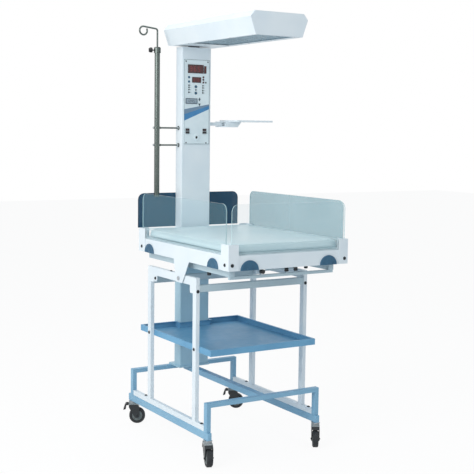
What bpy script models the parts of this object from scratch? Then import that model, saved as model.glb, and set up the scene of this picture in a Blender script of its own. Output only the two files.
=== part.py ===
"""Infant radiant warmer: a tilting cot under a swivelling overhead heater, on a wheeled stand.

The foot end faces -Y, the heater column stands at the head end on +Y, and the floor is at zero height.
"""

import math

import bmesh
import bpy
from mathutils import Matrix, Vector

# General
GAP = 0.0003
OVERRUN = 0.010
EDGE_ROUND = 0.0016
ARC_STEPS = 4
ROUND_STEPS = 24
PIN_STEPS = 16
STEM_STEPS = 12
DOWNWARD_SHARE = 0.99

# Wheeled base
BASE_HALF_WIDTH = 0.2875
RAIL_WIDTH = 0.0192
RAIL_HEIGHT = 0.0326
RAIL_UNDERSIDE = 0.1084
RAIL_FRONT_OVERHANG = 0.0088
RAIL_REAR_OVERHANG = 0.0231
ARCH_HALF_SPAN = 0.3651
ARCH_DEPTH = 0.0256
ARCH_POST_WIDTH = 0.0193
ARCH_BAR_HEIGHT = 0.019
ARCH_TOP = 0.2661
BEAM_WIDTH = 0.030
BEAM_HEIGHT = 0.026

# Casters
WHEEL_RADIUS = 0.0375
WHEEL_WIDTH = 0.026
TYRE_CROWN = 0.004
HUB_RADIUS = 0.026
HUB_RECESS = 0.004
HUB_BOSS_RADIUS = 0.010
AXLE_RADIUS = 0.004
RUNNING_CLEARANCE = 0.0004
CASTER_TRAIL = 0.021
CASTER_FRONT_INSET = 0.016
CASTER_REAR_INSET = 0.026
FORK_WALL = 0.003
FORK_SIDE_CLEARANCE = 0.002
FORK_TOP_GAP = 0.004
FORK_CROWN_HALF_LENGTH = 0.019
FORK_TIP_RADIUS = 0.010
SWIVEL_RACE_RADIUS = 0.0185
SWIVEL_RACE_HEIGHT = 0.011
PEDAL_WIDTH = 0.030
PEDAL_LENGTH = 0.020
PEDAL_THICKNESS = 0.005
PEDAL_DROP = 0.026
PEDAL_HINGE_RADIUS = 0.004
PEDAL_TIP_ROUND = 0.0008
WHEEL_STEPS = 32
CASTER_TURNS = {"front_left": 198, "front_right": 213, "rear_left": 116, "rear_right": 121}

# Side frames
SIDE_HALF_WIDTH = 0.2862
UPRIGHT_WIDTH = 0.0186
UPRIGHT_DEPTH = 0.0286
FRONT_UPRIGHT_FACE = -0.2613
REAR_UPRIGHT_FACE = 0.1602
SOLE_HEIGHT = 0.024
SIDE_TOP = 0.782
SIDE_BAR_HEIGHT = 0.036
GUSSET_LENGTH = 0.026
GUSSET_HEIGHT = 0.033
CROSSBAR_HEIGHT = 0.030
CROSSBAR_DEPTH = 0.020
FRONT_CROSSBAR_DROP = 0.062
REAR_CROSSBAR_DROP = 0.079

# Storage tray
TRAY_FRONT = -0.3566
TRAY_PAST_COLUMN = 0.0388
TRAY_RIM_TOP = 0.4882
TRAY_HEIGHT = 0.027
TRAY_SHEET = 0.0015
TRAY_LIP = 0.010
TRAY_NOTCH_CLEARANCE = 0.004

# Column
COLUMN_HALF_WIDTH = 0.078
COLUMN_FRONT = 0.2609
COLUMN_DEPTH = 0.0591
COLUMN_CORNER = 0.005
FOOT_PLATE_MARGIN = 0.004
FOOT_PLATE_THICKNESS = 0.008
POCKET_MARGIN = 0.008
POCKET_DEPTH = 0.030

# Control fascia on the column's front
FASCIA_HALF_WIDTH = 0.068
FASCIA_BOTTOM = 1.335
FASCIA_TOP = 1.729
FASCIA_THICKNESS = 0.003
FASCIA_CORNER = 0.004
DISPLAY_LEFT = -0.0466
DISPLAY_RIGHT = 0.0330
DISPLAY_BOTTOM = 1.6676
DISPLAY_TOP = 1.7035
LCD_LEFT = -0.058
LCD_RIGHT = 0.0005
LCD_BOTTOM = 1.5250
LCD_TOP = 1.5465
WINDOW_THICKNESS = 0.0015
KEY_X = -0.0055
KEY_HEIGHTS = {"upper": 1.6036, "lower": 1.5735}
KEY_RADIUS = 0.0045
KEY_PROUD = 0.0022
KEY_FLANGE = 0.0018
KEY_FLANGE_THICKNESS = 0.0015
KEY_CLEARANCE = 0.0004
KEY_TOP_SHARE = 0.8
KEY_SHOULDER_SHARE = 0.7
ROCKER_X = {"left": -0.0495, "right": 0.0420}
ROCKER_HEIGHT_ABOVE_FLOOR = 1.3960
ROCKER_HALF_WIDTH = 0.0095
ROCKER_HALF_HEIGHT = 0.0110
ROCKER_FRONT = 0.0046
ROCKER_DIP = 0.0014
ROCKER_BACK = 0.0040
ROCKER_CLEARANCE = 0.0010
ROCKER_BACK_SHARE = 0.8
ROCKER_TILT = 7
SOCKET_X = 0.0005
SOCKET_HEIGHT = 1.3667
SOCKET_FLANGE_RADIUS = 0.0155
SOCKET_FACE_SHARE = 0.9
SOCKET_FLANGE_THICKNESS = 0.0025
SOCKET_BARREL_RADIUS = 0.0105
SOCKET_BORE_RADIUS = 0.0080
SOCKET_BORE_DEPTH = 0.0100
SOCKET_LENGTH = 0.0160

# Power inlet on the column's back
INLET_HEIGHT = 0.400
INLET_HALF_WIDTH = 0.025
INLET_HALF_HEIGHT = 0.016
INLET_THICKNESS = 0.005
INLET_WELL_HALF_WIDTH = 0.0125
INLET_WELL_HALF_HEIGHT = 0.0085
INLET_WELL_DEPTH = 0.015
INLET_BODY_DEPTH = 0.018

# Canopy with its heater
CANOPY_FRONT = -0.4323
CANOPY_REAR = 0.3263
CANOPY_BOTTOM = 1.7912
CANOPY_CREASE = 1.8608
CANOPY_TOP = 1.8857
CANOPY_HALF_BOTTOM = 0.1158
CANOPY_HALF_CREASE = 0.1410
CANOPY_HALF_TOP = 0.1205
CANOPY_SHEET = 0.0015
CANOPY_FLANGE = 0.022
CANOPY_OPENING_REAR = 0.160
CANOPY_SEAM = 0.006
SWIVEL_FLANGE_RADIUS = 0.027
SWIVEL_HUB_RADIUS = 0.021
SWIVEL_COLLAR_THICKNESS = 0.004
GUARD_OVERLAP = 0.005
GUARD_WIRE = 0.0028
GUARD_ROWS = 14
GUARD_COLUMNS = 4
REFLECTOR_SHEET = 0.0012
REFLECTOR_HALF_WIDTH = 0.078
REFLECTOR_RISE = 0.058
REFLECTOR_STEPS = 12
REFLECTOR_END_GAP = 0.012
ELEMENT_RADIUS = 0.008
ELEMENT_HEIGHT = 0.030
ELEMENT_END_MARGIN = 0.004
ELEMENT_COLLAR = 0.003
ELEMENT_COLLAR_LENGTH = 0.020

# Infusion pole
POLE_X = -0.192
POLE_RADIUS = 0.0125
POLE_WALL = 0.0015
POLE_BOTTOM = 1.088
POLE_TOP = 1.776
POLE_PLUG_HEIGHT = 0.006
ROD_RADIUS = 0.004
ROD_BEND_HEIGHT = 1.862
ROD_BEND_RADIUS = 0.010
ROD_INSERTED = 0.520
ROD_ARM_LENGTH = 0.052
ROD_ARM_RISE = 0.007
ROD_RING_RADIUS = 0.019
ROD_RING_TURN = 300
ROD_RING_STEPS = 20
POLE_COLLAR_RADIUS = 0.0160
POLE_COLLAR_HEIGHT = 0.024
KNOB_RADIUS = 0.012
KNOB_LOBE_DEPTH = 0.0025
KNOB_LOBES = 5
KNOB_THICKNESS = 0.012
KNOB_STEM_RADIUS = 0.003
KNOB_STEM_LENGTH = 0.012
KNOB_STEPS = 40
HOLDER_HEIGHTS = {"upper": 1.4094, "lower": 1.3298}
HOLDER_RING_RADIUS = 0.018
HOLDER_RING_HEIGHT = 0.010
HOLDER_ARM_RADIUS = 0.004
HOLDER_FOOT_RADIUS = 0.010
HOLDER_FOOT_THICKNESS = 0.003

# Instrument shelf
SHELF_PLATE_THICKNESS = 0.004
SHELF_PLATE_HALF_DEPTH = 0.018
SHELF_PLATE_BOTTOM = 1.3360
SHELF_PLATE_TOP = 1.4500
SHELF_ARM_HALF_DEPTH = 0.010
SHELF_ARM_ROUND_SHARE = 0.95
SHELF_ARM_BOTTOM = 1.4230
SHELF_ARM_TOP = 1.4386
SHELF_PIVOT_X = 0.150
SHELF_PIN_RADIUS = 0.004
SHELF_START = 0.190
SHELF_END = 0.401
SHELF_HALF_DEPTH = 0.085
SHELF_TOP = 1.4505
SHELF_RIM_HEIGHT = 0.008
SHELF_SHEET = 0.0015
SHELF_CORNER = 0.012
SHELF_BLOCK_START = 0.135
SHELF_BLOCK_END = 0.256
SHELF_BLOCK_TAPER = 0.022
SHELF_BLOCK_BOTTOM = 1.4170
SHELF_BLOCK_HALF_DEPTH = 0.022
SHELF_FORK_DEPTH = 0.016

# Cot
BED_HALF_WIDTH = 0.2959
BED_FRONT = -0.5395
BED_NOTCH_DEPTH = 0.0271
BED_RAIL_HEIGHT = 0.0608
BED_RAIL_WIDTH = 0.0247
BRACKET_HEIGHT = 0.106
BRACKET_SHEET = 0.003
BRACKET_SIDE_LEG = 0.061
BRACKET_END_LEG = 0.047
NOTCH_SIDE_CLEARANCE = 0.014
NOTCH_FRONT_CLEARANCE = 0.024
DECK_SHEET = 0.002
PAD_RADIUS = 0.042
PAD_HEIGHT = 0.040
PAD_PROUD = 0.0035
PAD_FRONT_INSET = 0.086
PAD_REAR_INSET = 0.062
PAD_END_INSET = 0.058
PAD_STEPS = 14
BEARER_DEPTH = 0.025
FRONT_BEARER_Y = -0.450
REAR_BEARER_Y = 0.100
UNDER_RAIL_OUTER = 0.260
UNDER_RAIL_WIDTH = 0.025
UNDER_RAIL_HEIGHT = 0.032
UNDER_RAIL_FRONT = -0.488
UNDER_RAIL_REAR = 0.229
UNDER_BAR_HEIGHT = 0.012
WELD_OVERLAP = 0.0008

# Tilt pivot
TILT_Y = -0.1195
TILT_DROP = 0.0802
TILT_PLATE_THICKNESS = 0.003
TILT_PLATE_TOP_REAR = -0.0720
TILT_PLATE_TOP_FRONT = -0.2080
TILT_PLATE_LOW_REAR = -0.0930
TILT_PLATE_LOW_FRONT = -0.1480
TILT_PLATE_BELOW = 0.0175
TILT_PLATE_CORNER = 0.006
TILT_PIN_RADIUS = 0.005
TILT_HEAD_RADIUS = 0.008
TILT_HEAD_THICKNESS = 0.005

# Mattress
MATTRESS_SIDE_CLEARANCE = 0.0045
MATTRESS_REAR_CLEARANCE = 0.0030
MATTRESS_THICKNESS = 0.0494
MATTRESS_EDGE_HEIGHT = 0.044
MATTRESS_EDGE_ROUND = 0.014
MATTRESS_CORNER = 0.030
MATTRESS_DRAW_IN = 0.005
MATTRESS_SEAM_DIP = 0.0015
MATTRESS_CUTS = 11
MATTRESS_ROUND_SHARE = 0.33
MATTRESS_SMOOTH_ANGLE = 60
DRAW_IN_POWER = 4
SIDE_POWER = 8
TOP_EDGE_POWER = 10

# Clear walls
PANEL_THICKNESS = 0.005
PANEL_CLEARANCE = 0.0004
PANEL_CORNER = 0.030
SIDE_PANEL_HEIGHT = 0.2052
SIDE_PANEL_INSET = 0.030
FOOT_PANEL_INSET = 0.016
HEAD_PANEL_HALF_WIDTH = 0.272
HEAD_PANEL_LIFT = 0.039
HEAD_PANEL_HEIGHT = 0.1605
CLAMP_HALF_WIDTH = 0.060
CLAMP_LIFT = 0.056
CLAMP_HEIGHT = 0.060
CLAMP_THICKNESS = 0.004

# Derived levels and faces
RAIL_TOP = RAIL_UNDERSIDE + RAIL_HEIGHT
SOLE_BOTTOM = RAIL_TOP + GAP
SIDE_INNER = SIDE_HALF_WIDTH - UPRIGHT_WIDTH
COLUMN_REAR = COLUMN_FRONT + COLUMN_DEPTH
TRAY_REAR = COLUMN_FRONT + TRAY_PAST_COLUMN
COLUMN_MIDDLE = (COLUMN_FRONT + COLUMN_REAR) / 2
COLUMN_BOTTOM = ARCH_TOP + GAP
COLUMN_TOP = CANOPY_BOTTOM - CANOPY_SEAM
FASCIA_BACK = COLUMN_FRONT - GAP
FASCIA_FACE = FASCIA_BACK - FASCIA_THICKNESS
CANOPY_FLOOR_TOP = CANOPY_BOTTOM + CANOPY_SHEET
TILT_HEIGHT = SIDE_TOP - SIDE_BAR_HEIGHT / 2
TILT_PLATE_BOTTOM = TILT_HEIGHT - TILT_PLATE_BELOW
BED_RAIL_BOTTOM = TILT_HEIGHT + TILT_DROP
BED_RAIL_TOP = BED_RAIL_BOTTOM + BED_RAIL_HEIGHT
BRACKET_TOP = BED_RAIL_BOTTOM + BRACKET_HEIGHT
NOTCH_HALF_WIDTH = COLUMN_HALF_WIDTH + NOTCH_SIDE_CLEARANCE
NOTCH_Y = COLUMN_FRONT - NOTCH_FRONT_CLEARANCE
BED_REAR = NOTCH_Y + BED_NOTCH_DEPTH
BED_RAIL_OUTER = BED_HALF_WIDTH - BRACKET_SHEET - GAP
BED_RAIL_INNER = BED_RAIL_OUTER - BED_RAIL_WIDTH
BED_RAIL_FRONT = BED_FRONT + BRACKET_SHEET + GAP
BED_RAIL_REAR = BED_REAR - BRACKET_SHEET - GAP
PANEL_SLOT = PANEL_THICKNESS + 2 * PANEL_CLEARANCE
PANEL_OFFSET = BRACKET_SHEET + PANEL_CLEARANCE
GUIDE_OFFSET = BRACKET_SHEET + PANEL_SLOT
GUIDE_INNER = GUIDE_OFFSET + BRACKET_SHEET
DECK_BOTTOM = BED_RAIL_TOP + GAP
DECK_TOP = DECK_BOTTOM + DECK_SHEET
DECK_EDGE = GUIDE_INNER + GAP
MATTRESS_BOTTOM = DECK_TOP + GAP
MATTRESS_CREST = MATTRESS_BOTTOM + MATTRESS_THICKNESS
SIDE_PANEL_TOP = DECK_BOTTOM + SIDE_PANEL_HEIGHT
HEAD_PANEL_BOTTOM = BED_RAIL_TOP + HEAD_PANEL_LIFT
HEAD_PANEL_TOP = HEAD_PANEL_BOTTOM + HEAD_PANEL_HEIGHT
CLAMP_BOTTOM = HEAD_PANEL_BOTTOM + CLAMP_LIFT
CLAMP_TOP = CLAMP_BOTTOM + CLAMP_HEIGHT
CASTER_X = BASE_HALF_WIDTH - RAIL_WIDTH / 2
CASTER_FRONT_Y = -ARCH_HALF_SPAN - RAIL_FRONT_OVERHANG + CASTER_FRONT_INSET
CASTER_REAR_Y = ARCH_HALF_SPAN + RAIL_REAR_OVERHANG - CASTER_REAR_INSET


def clear_scene():
    for obj in list(bpy.data.objects):
        bpy.data.objects.remove(obj, do_unlink=True)


def make_collection(name):
    collection = bpy.data.collections.new(name)
    bpy.context.scene.collection.children.link(collection)
    return collection


def make_material(name, colour, roughness, metallic=0.0, alpha=1.0):
    material = bpy.data.materials.new(name)
    material.use_nodes = True
    shader = material.node_tree.nodes["Principled BSDF"]
    shader.inputs["Base Color"].default_value = (*colour, 1.0)
    shader.inputs["Roughness"].default_value = roughness
    shader.inputs["Metallic"].default_value = metallic
    shader.inputs["Alpha"].default_value = alpha
    return material


clear_scene()
PARTS = make_collection("infant_radiant_warmer")
CUTTERS = make_collection("cutters")
CUTTERS.hide_render = True

BLUE_PAINT = make_material("blue_paint", (0.16, 0.36, 0.58), 0.35)
WHITE_PAINT = make_material("white_paint", (0.80, 0.86, 0.88), 0.35)
GREY_PAINT = make_material("grey_paint", (0.42, 0.50, 0.54), 0.40)
DARK_BLUE_PLASTIC = make_material("dark_blue_plastic", (0.02, 0.09, 0.19), 0.40)
BLACK_PLASTIC = make_material("black_plastic", (0.02, 0.02, 0.025), 0.45)
WHITE_PLASTIC = make_material("white_plastic", (0.78, 0.84, 0.87), 0.45)
RUBBER = make_material("grey_rubber", (0.05, 0.05, 0.06), 0.75)
STEEL = make_material("steel", (0.60, 0.60, 0.60), 0.25, metallic=1.0)
POLISHED = make_material("polished_aluminium", (0.85, 0.86, 0.88), 0.12, metallic=1.0)
CERAMIC = make_material("ceramic", (0.62, 0.55, 0.48), 0.60)
VINYL = make_material("mattress_vinyl", (0.70, 0.83, 0.84), 0.45)
CLEAR = make_material("clear_acrylic", (0.75, 0.88, 0.90), 0.05, alpha=0.35)
TINTED = make_material("blue_acrylic", (0.05, 0.14, 0.24), 0.08, alpha=0.85)
RED_WINDOW = make_material("red_window", (0.25, 0.01, 0.01), 0.15)
GREY_WINDOW = make_material("grey_window", (0.36, 0.42, 0.40), 0.15)

FRAME = bpy.data.objects.new("warmer_frame", None)
PARTS.objects.link(FRAME)


def add_object(name, mesh, material, origin=(0.0, 0.0, 0.0), parent=None):
    """Links a mesh whose points are in the warmer's frame, with the object's origin at a chosen point."""
    mesh.transform(Matrix.Translation(-Vector(origin)))
    obj = bpy.data.objects.new(name, mesh)
    PARTS.objects.link(obj)
    obj.parent = parent or FRAME
    obj.location = origin
    mesh.materials.clear()
    mesh.materials.append(material)
    return obj


def shade_round(obj, angle=math.radians(35)):
    obj.data.shade_smooth()
    obj.data.set_sharp_from_angle(angle=angle)
    return obj


def mesh_from_bmesh(name, shape):
    mesh = bpy.data.meshes.new(name)
    bmesh.ops.recalc_face_normals(shape, faces=shape.faces)
    if shape.calc_volume(signed=True) < 0:
        bmesh.ops.reverse_faces(shape, faces=shape.faces)
    shape.to_mesh(mesh)
    shape.free()
    return mesh


def block_shape(low, high):
    shape = bmesh.new()
    bmesh.ops.create_cube(shape, size=1)
    low = Vector(low)
    high = Vector(high)
    size = high - low
    bmesh.ops.scale(shape, vec=size, verts=shape.verts)
    bmesh.ops.translate(shape, vec=(low + high) / 2, verts=shape.verts)
    return shape


def block(name, low, high, material, origin=None, edge=0.0, parent=None):
    """A box between two corners, with small rounded edges when edge is given."""
    middle = (Vector(low) + Vector(high)) / 2
    mesh = mesh_from_bmesh(name, block_shape(low, high))
    obj = add_object(name, mesh, material, origin or middle, parent)
    if edge:
        bevel_edges(obj, edge)
    return obj


def bevel_edges(obj, width, segments=1):
    bevel = obj.modifiers.new("edges", "BEVEL")
    bevel.width = width
    bevel.segments = segments
    bevel.limit_method = "ANGLE"
    return bevel


def rounded(corners, radius, steps=ARC_STEPS):
    """The corners of a closed outline, each replaced by an arc; radius is one value or one a corner."""
    points = []
    count = len(corners)
    radii = radius if isinstance(radius, (list, tuple)) else [radius] * count
    for index, corner in enumerate(corners):
        if not radii[index]:
            points.append(tuple(corner))
            continue
        here = Vector(corner)
        before = (Vector(corners[index - 1]) - here).normalized()
        after = (Vector(corners[(index + 1) % count]) - here).normalized()
        half = before.angle(after) / 2
        centre = here + (before + after).normalized() * radii[index] / math.sin(half)
        start = here + before * radii[index] / math.tan(half) - centre
        end = here + after * radii[index] / math.tan(half) - centre
        turn = math.atan2(start.x * end.y - start.y * end.x, start.dot(end))
        for step in range(steps + 1):
            arm = start.copy()
            arm.rotate(Matrix.Rotation(turn * step / steps, 2))
            points.append(tuple(centre + arm))
    return points


def rectangle(left, right, bottom, top):
    return [(left, bottom), (right, bottom), (right, top), (left, top)]


def circle(centre, radius, steps=ROUND_STEPS):
    turn = 2 * math.pi / steps
    return [
        (centre[0] + radius * math.cos(turn * step), centre[1] + radius * math.sin(turn * step))
        for step in range(steps)
    ]


PLANES = {
    "XY": Matrix(((1, 0, 0), (0, 1, 0), (0, 0, 1))),
    "XZ": Matrix(((1, 0, 0), (0, 0, 1), (0, 1, 0))),
    "YZ": Matrix(((0, 0, 1), (1, 0, 0), (0, 1, 0))),
}


def plate_mesh(name, loops, low, high, plane):
    """A flat outline with its holes, extruded from low to high along the plane's normal."""
    curve = bpy.data.curves.new(name, "CURVE")
    curve.dimensions = "2D"
    curve.fill_mode = "BOTH"
    curve.extrude = (high - low) / 2
    for loop in loops:
        spline = curve.splines.new("POLY")
        spline.points.add(len(loop) - 1)
        for point, place in zip(spline.points, loop):
            point.co = (place[0], place[1], 0.0, 1.0)
        spline.use_cyclic_u = True
    guide = bpy.data.objects.new(name + "_outline", curve)
    bpy.context.scene.collection.objects.link(guide)
    graph = bpy.context.evaluated_depsgraph_get()
    mesh = bpy.data.meshes.new_from_object(guide.evaluated_get(graph))
    bpy.data.objects.remove(guide, do_unlink=True)
    shape = bmesh.new()
    shape.from_mesh(mesh)
    bpy.data.meshes.remove(mesh)
    bmesh.ops.remove_doubles(shape, verts=shape.verts, dist=GAP / 10)
    bmesh.ops.translate(shape, vec=(0.0, 0.0, (low + high) / 2), verts=shape.verts)
    shape.transform(PLANES[plane].to_4x4())
    return mesh_from_bmesh(name, shape)


def plate(name, loops, low, high, plane, material, origin=(0.0, 0.0, 0.0), parent=None):
    mesh = plate_mesh(name, loops, low, high, plane)
    return add_object(name, mesh, material, origin, parent)


def turned(name, profile, material, place, turn=(0.0, 0.0, 0.0), parent=None, steps=ROUND_STEPS):
    """A turned shape: the profile's radius and height pairs run down its outer side."""
    mesh = bpy.data.meshes.new(name)
    points = [(radius, 0.0, height) for radius, height in profile]
    edges = [(index, index + 1) for index in range(len(points) - 1)]
    mesh.from_pydata(points, edges, [])
    obj = add_object(name, mesh, material, parent=parent)
    obj.location = place
    obj.rotation_euler = turn
    screw = obj.modifiers.new("turn", "SCREW")
    screw.axis = "Z"
    screw.steps = steps
    screw.render_steps = steps
    screw.use_merge_vertices = True
    screw.merge_threshold = GAP / 10
    screw.use_smooth_shade = True
    return obj


def rod_mesh(name, points, radius, sides=3, cyclic=False):
    """A round wire along a list of points, as a closed mesh."""
    curve = bpy.data.curves.new(name, "CURVE")
    curve.dimensions = "3D"
    curve.bevel_depth = radius
    curve.bevel_resolution = sides
    curve.use_fill_caps = True
    spline = curve.splines.new("POLY")
    spline.points.add(len(points) - 1)
    for point, place in zip(spline.points, points):
        point.co = (*place, 1.0)
    spline.use_cyclic_u = cyclic
    guide = bpy.data.objects.new(name + "_path", curve)
    bpy.context.scene.collection.objects.link(guide)
    graph = bpy.context.evaluated_depsgraph_get()
    mesh = bpy.data.meshes.new_from_object(guide.evaluated_get(graph))
    bpy.data.objects.remove(guide, do_unlink=True)
    shape = bmesh.new()
    shape.from_mesh(mesh)
    bpy.data.meshes.remove(mesh)
    bmesh.ops.remove_doubles(shape, verts=shape.verts, dist=GAP / 10)
    return mesh_from_bmesh(name, shape)


def combine(target, tool, operation):
    """Cuts the tool from the target or joins it on, and puts the tool among the cutters."""
    boolean = target.modifiers.new(operation.lower() + "_" + tool.name, "BOOLEAN")
    boolean.operation = operation
    boolean.object = tool
    PARTS.objects.unlink(tool)
    CUTTERS.objects.link(tool)
    tool.hide_render = True
    tool.display_type = "WIRE"


def cut(target, tool):
    combine(target, tool, "DIFFERENCE")


def join(target, tool):
    combine(target, tool, "UNION")


def cut_block(target, low, high):
    cut(target, block(target.name + "_cutter", low, high, target.data.materials[0]))


def cut_hole(target, centre, radius, depth, turn):
    """A round hole through the target, depth long on each side of its centre."""
    profile = [(0.0, depth), (radius, depth), (radius, -depth), (0.0, -depth)]
    cut(target, turned(target.name + "_hole", profile, target.data.materials[0], centre, turn))


ALONG_Y = (math.radians(90), 0.0, 0.0)
ALONG_X = (0.0, math.radians(90), 0.0)


def build_base():
    rail_middle = BASE_HALF_WIDTH - RAIL_WIDTH / 2
    for side, sign in (("left", -1), ("right", 1)):
        block(
            "base_rail_" + side,
            (sign * rail_middle - RAIL_WIDTH / 2, -ARCH_HALF_SPAN - RAIL_FRONT_OVERHANG, RAIL_UNDERSIDE),
            (sign * rail_middle + RAIL_WIDTH / 2, ARCH_HALF_SPAN + RAIL_REAR_OVERHANG, RAIL_TOP),
            BLUE_PAINT,
            edge=EDGE_ROUND,
        )
    bridge = build_arch("base_bridge", -ARCH_HALF_SPAN, -ARCH_HALF_SPAN + ARCH_DEPTH)
    join(bridge, build_arch("base_rear_arch", ARCH_HALF_SPAN - ARCH_DEPTH, ARCH_HALF_SPAN))
    beam_end = ARCH_HALF_SPAN - ARCH_DEPTH + WELD_OVERLAP
    beam = block(
        "base_centre_beam",
        (-BEAM_WIDTH / 2, -beam_end, ARCH_TOP - BEAM_HEIGHT),
        (BEAM_WIDTH / 2, beam_end, ARCH_TOP),
        BLUE_PAINT,
    )
    join(bridge, beam)


def build_arch(name, front, rear):
    """A goal-post arch: two posts on the rails and the bar across them."""
    inner = BASE_HALF_WIDTH - ARCH_POST_WIDTH
    foot = RAIL_TOP + GAP
    outline = [
        (-BASE_HALF_WIDTH, foot),
        (-inner, foot),
        (-inner, ARCH_TOP - ARCH_BAR_HEIGHT),
        (inner, ARCH_TOP - ARCH_BAR_HEIGHT),
        (inner, foot),
        (BASE_HALF_WIDTH, foot),
        (BASE_HALF_WIDTH, ARCH_TOP),
        (-BASE_HALF_WIDTH, ARCH_TOP),
    ]
    return plate(name, [outline], front, rear, "XZ", BLUE_PAINT)


def caster_places():
    for name, turn in CASTER_TURNS.items():
        end, side = name.split("_")
        x = -CASTER_X if side == "left" else CASTER_X
        y = CASTER_FRONT_Y if end == "front" else CASTER_REAR_Y
        yield name, (x, y, 0.0), math.radians(90 - turn)


def build_casters():
    for name, place, turn in caster_places():
        stand = bpy.data.objects.new("caster_" + name, None)
        PARTS.objects.link(stand)
        stand.parent = FRAME
        stand.location = place
        stand.rotation_euler = (0.0, 0.0, turn)
        build_fork(name, stand)
        build_wheel(name, stand)
        build_pedal(name, stand)


def build_fork(name, stand):
    """The swivel fork: a bent channel over the wheel, with the axle and the swivel race in one piece."""
    race_top = RAIL_UNDERSIDE - GAP
    fork_top = race_top - SWIVEL_RACE_HEIGHT
    slot_top = 2 * WHEEL_RADIUS + FORK_TOP_GAP
    half = WHEEL_WIDTH / 2 + FORK_SIDE_CLEARANCE + FORK_WALL
    tip = FORK_TIP_RADIUS
    corners = [
        (-FORK_CROWN_HALF_LENGTH, fork_top),
        (-FORK_CROWN_HALF_LENGTH, slot_top),
        (CASTER_TRAIL - tip, WHEEL_RADIUS - tip),
        (CASTER_TRAIL + tip, WHEEL_RADIUS - tip),
        (CASTER_TRAIL + tip, slot_top),
        (FORK_CROWN_HALF_LENGTH, fork_top),
    ]
    radii = [0.0, 0.0, tip * 0.8, tip * 0.8, 0.0, 0.0]
    fork = plate(
        "caster_fork_" + name, [rounded(corners, radii)], -half, half, "XZ", STEEL, parent=stand
    )
    reach = CASTER_TRAIL + FORK_CROWN_HALF_LENGTH
    inner = half - FORK_WALL
    cut_block_in(fork, (-reach, -inner, 0.0), (reach + OVERRUN, inner, slot_top), stand)
    axle = turned(
        fork.name + "_axle",
        [(0.0, half), (AXLE_RADIUS, half), (AXLE_RADIUS, -half), (0.0, -half)],
        STEEL,
        (CASTER_TRAIL, 0.0, WHEEL_RADIUS),
        ALONG_Y,
        stand,
        steps=STEM_STEPS,
    )
    join(fork, axle)
    race = turned(
        fork.name + "_race",
        [
            (0.0, race_top),
            (SWIVEL_RACE_RADIUS / 2, race_top),
            (SWIVEL_RACE_RADIUS / 2, race_top - FORK_WALL / 2),
            (SWIVEL_RACE_RADIUS, race_top - FORK_WALL),
            (SWIVEL_RACE_RADIUS, fork_top - FORK_WALL / 2),
            (0.0, fork_top - FORK_WALL / 2),
        ],
        STEEL,
        (0.0, 0.0, 0.0),
        parent=stand,
        steps=PIN_STEPS,
    )
    join(fork, race)


def cut_block_in(target, low, high, parent):
    cutter = block(target.name + "_cutter", low, high, target.data.materials[0], parent=parent)
    cut(target, cutter)


def build_wheel(name, stand):
    """The wheel: a crowned tread, a recessed web and a bored hub."""
    half = WHEEL_WIDTH / 2
    shoulder = WHEEL_RADIUS - TYRE_CROWN
    bore = AXLE_RADIUS + RUNNING_CLEARANCE
    profile = [
        (bore, half),
        (HUB_BOSS_RADIUS, half),
        (HUB_BOSS_RADIUS, half - HUB_RECESS),
        (HUB_RADIUS, half - HUB_RECESS),
        (HUB_RADIUS, half),
        (shoulder, half),
        (WHEEL_RADIUS, half - TYRE_CROWN),
        (WHEEL_RADIUS, TYRE_CROWN - half),
        (shoulder, -half),
        (HUB_RADIUS, -half),
        (HUB_RADIUS, HUB_RECESS - half),
        (HUB_BOSS_RADIUS, HUB_RECESS - half),
        (HUB_BOSS_RADIUS, -half),
        (bore, -half),
        (bore, half),
    ]
    place = (CASTER_TRAIL, 0.0, WHEEL_RADIUS)
    turned("caster_wheel_" + name, profile, RUBBER, place, ALONG_Y, stand, steps=WHEEL_STEPS)


def build_pedal(name, stand):
    """The brake pedal: a hooked lever hinged at the leading side of the fork."""
    pivot_x = -FORK_CROWN_HALF_LENGTH - GAP - PEDAL_HINGE_RADIUS
    pivot_z = RAIL_UNDERSIDE - GAP - SWIVEL_RACE_HEIGHT - PEDAL_HINGE_RADIUS
    tip_x = -PEDAL_LENGTH
    tip_z = -PEDAL_DROP
    corners = [
        (PEDAL_HINGE_RADIUS, PEDAL_HINGE_RADIUS),
        (tip_x / 2, PEDAL_HINGE_RADIUS),
        (tip_x, tip_z + PEDAL_THICKNESS),
        (tip_x, tip_z),
        (tip_x / 2, -PEDAL_HINGE_RADIUS),
        (PEDAL_HINGE_RADIUS, -PEDAL_HINGE_RADIUS),
    ]
    end_round = PEDAL_HINGE_RADIUS - GAP
    outline = rounded(
        corners, [end_round, 0.0, PEDAL_TIP_ROUND, PEDAL_TIP_ROUND, 0.0, end_round]
    )
    placed = [(x + pivot_x, z + pivot_z) for x, z in outline]
    half = PEDAL_WIDTH / 2
    pivot = (pivot_x, 0.0, pivot_z)
    plate(
        "brake_pedal_" + name, [placed], -half, half, "XZ", BLACK_PLASTIC, origin=pivot, parent=stand
    )


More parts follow.
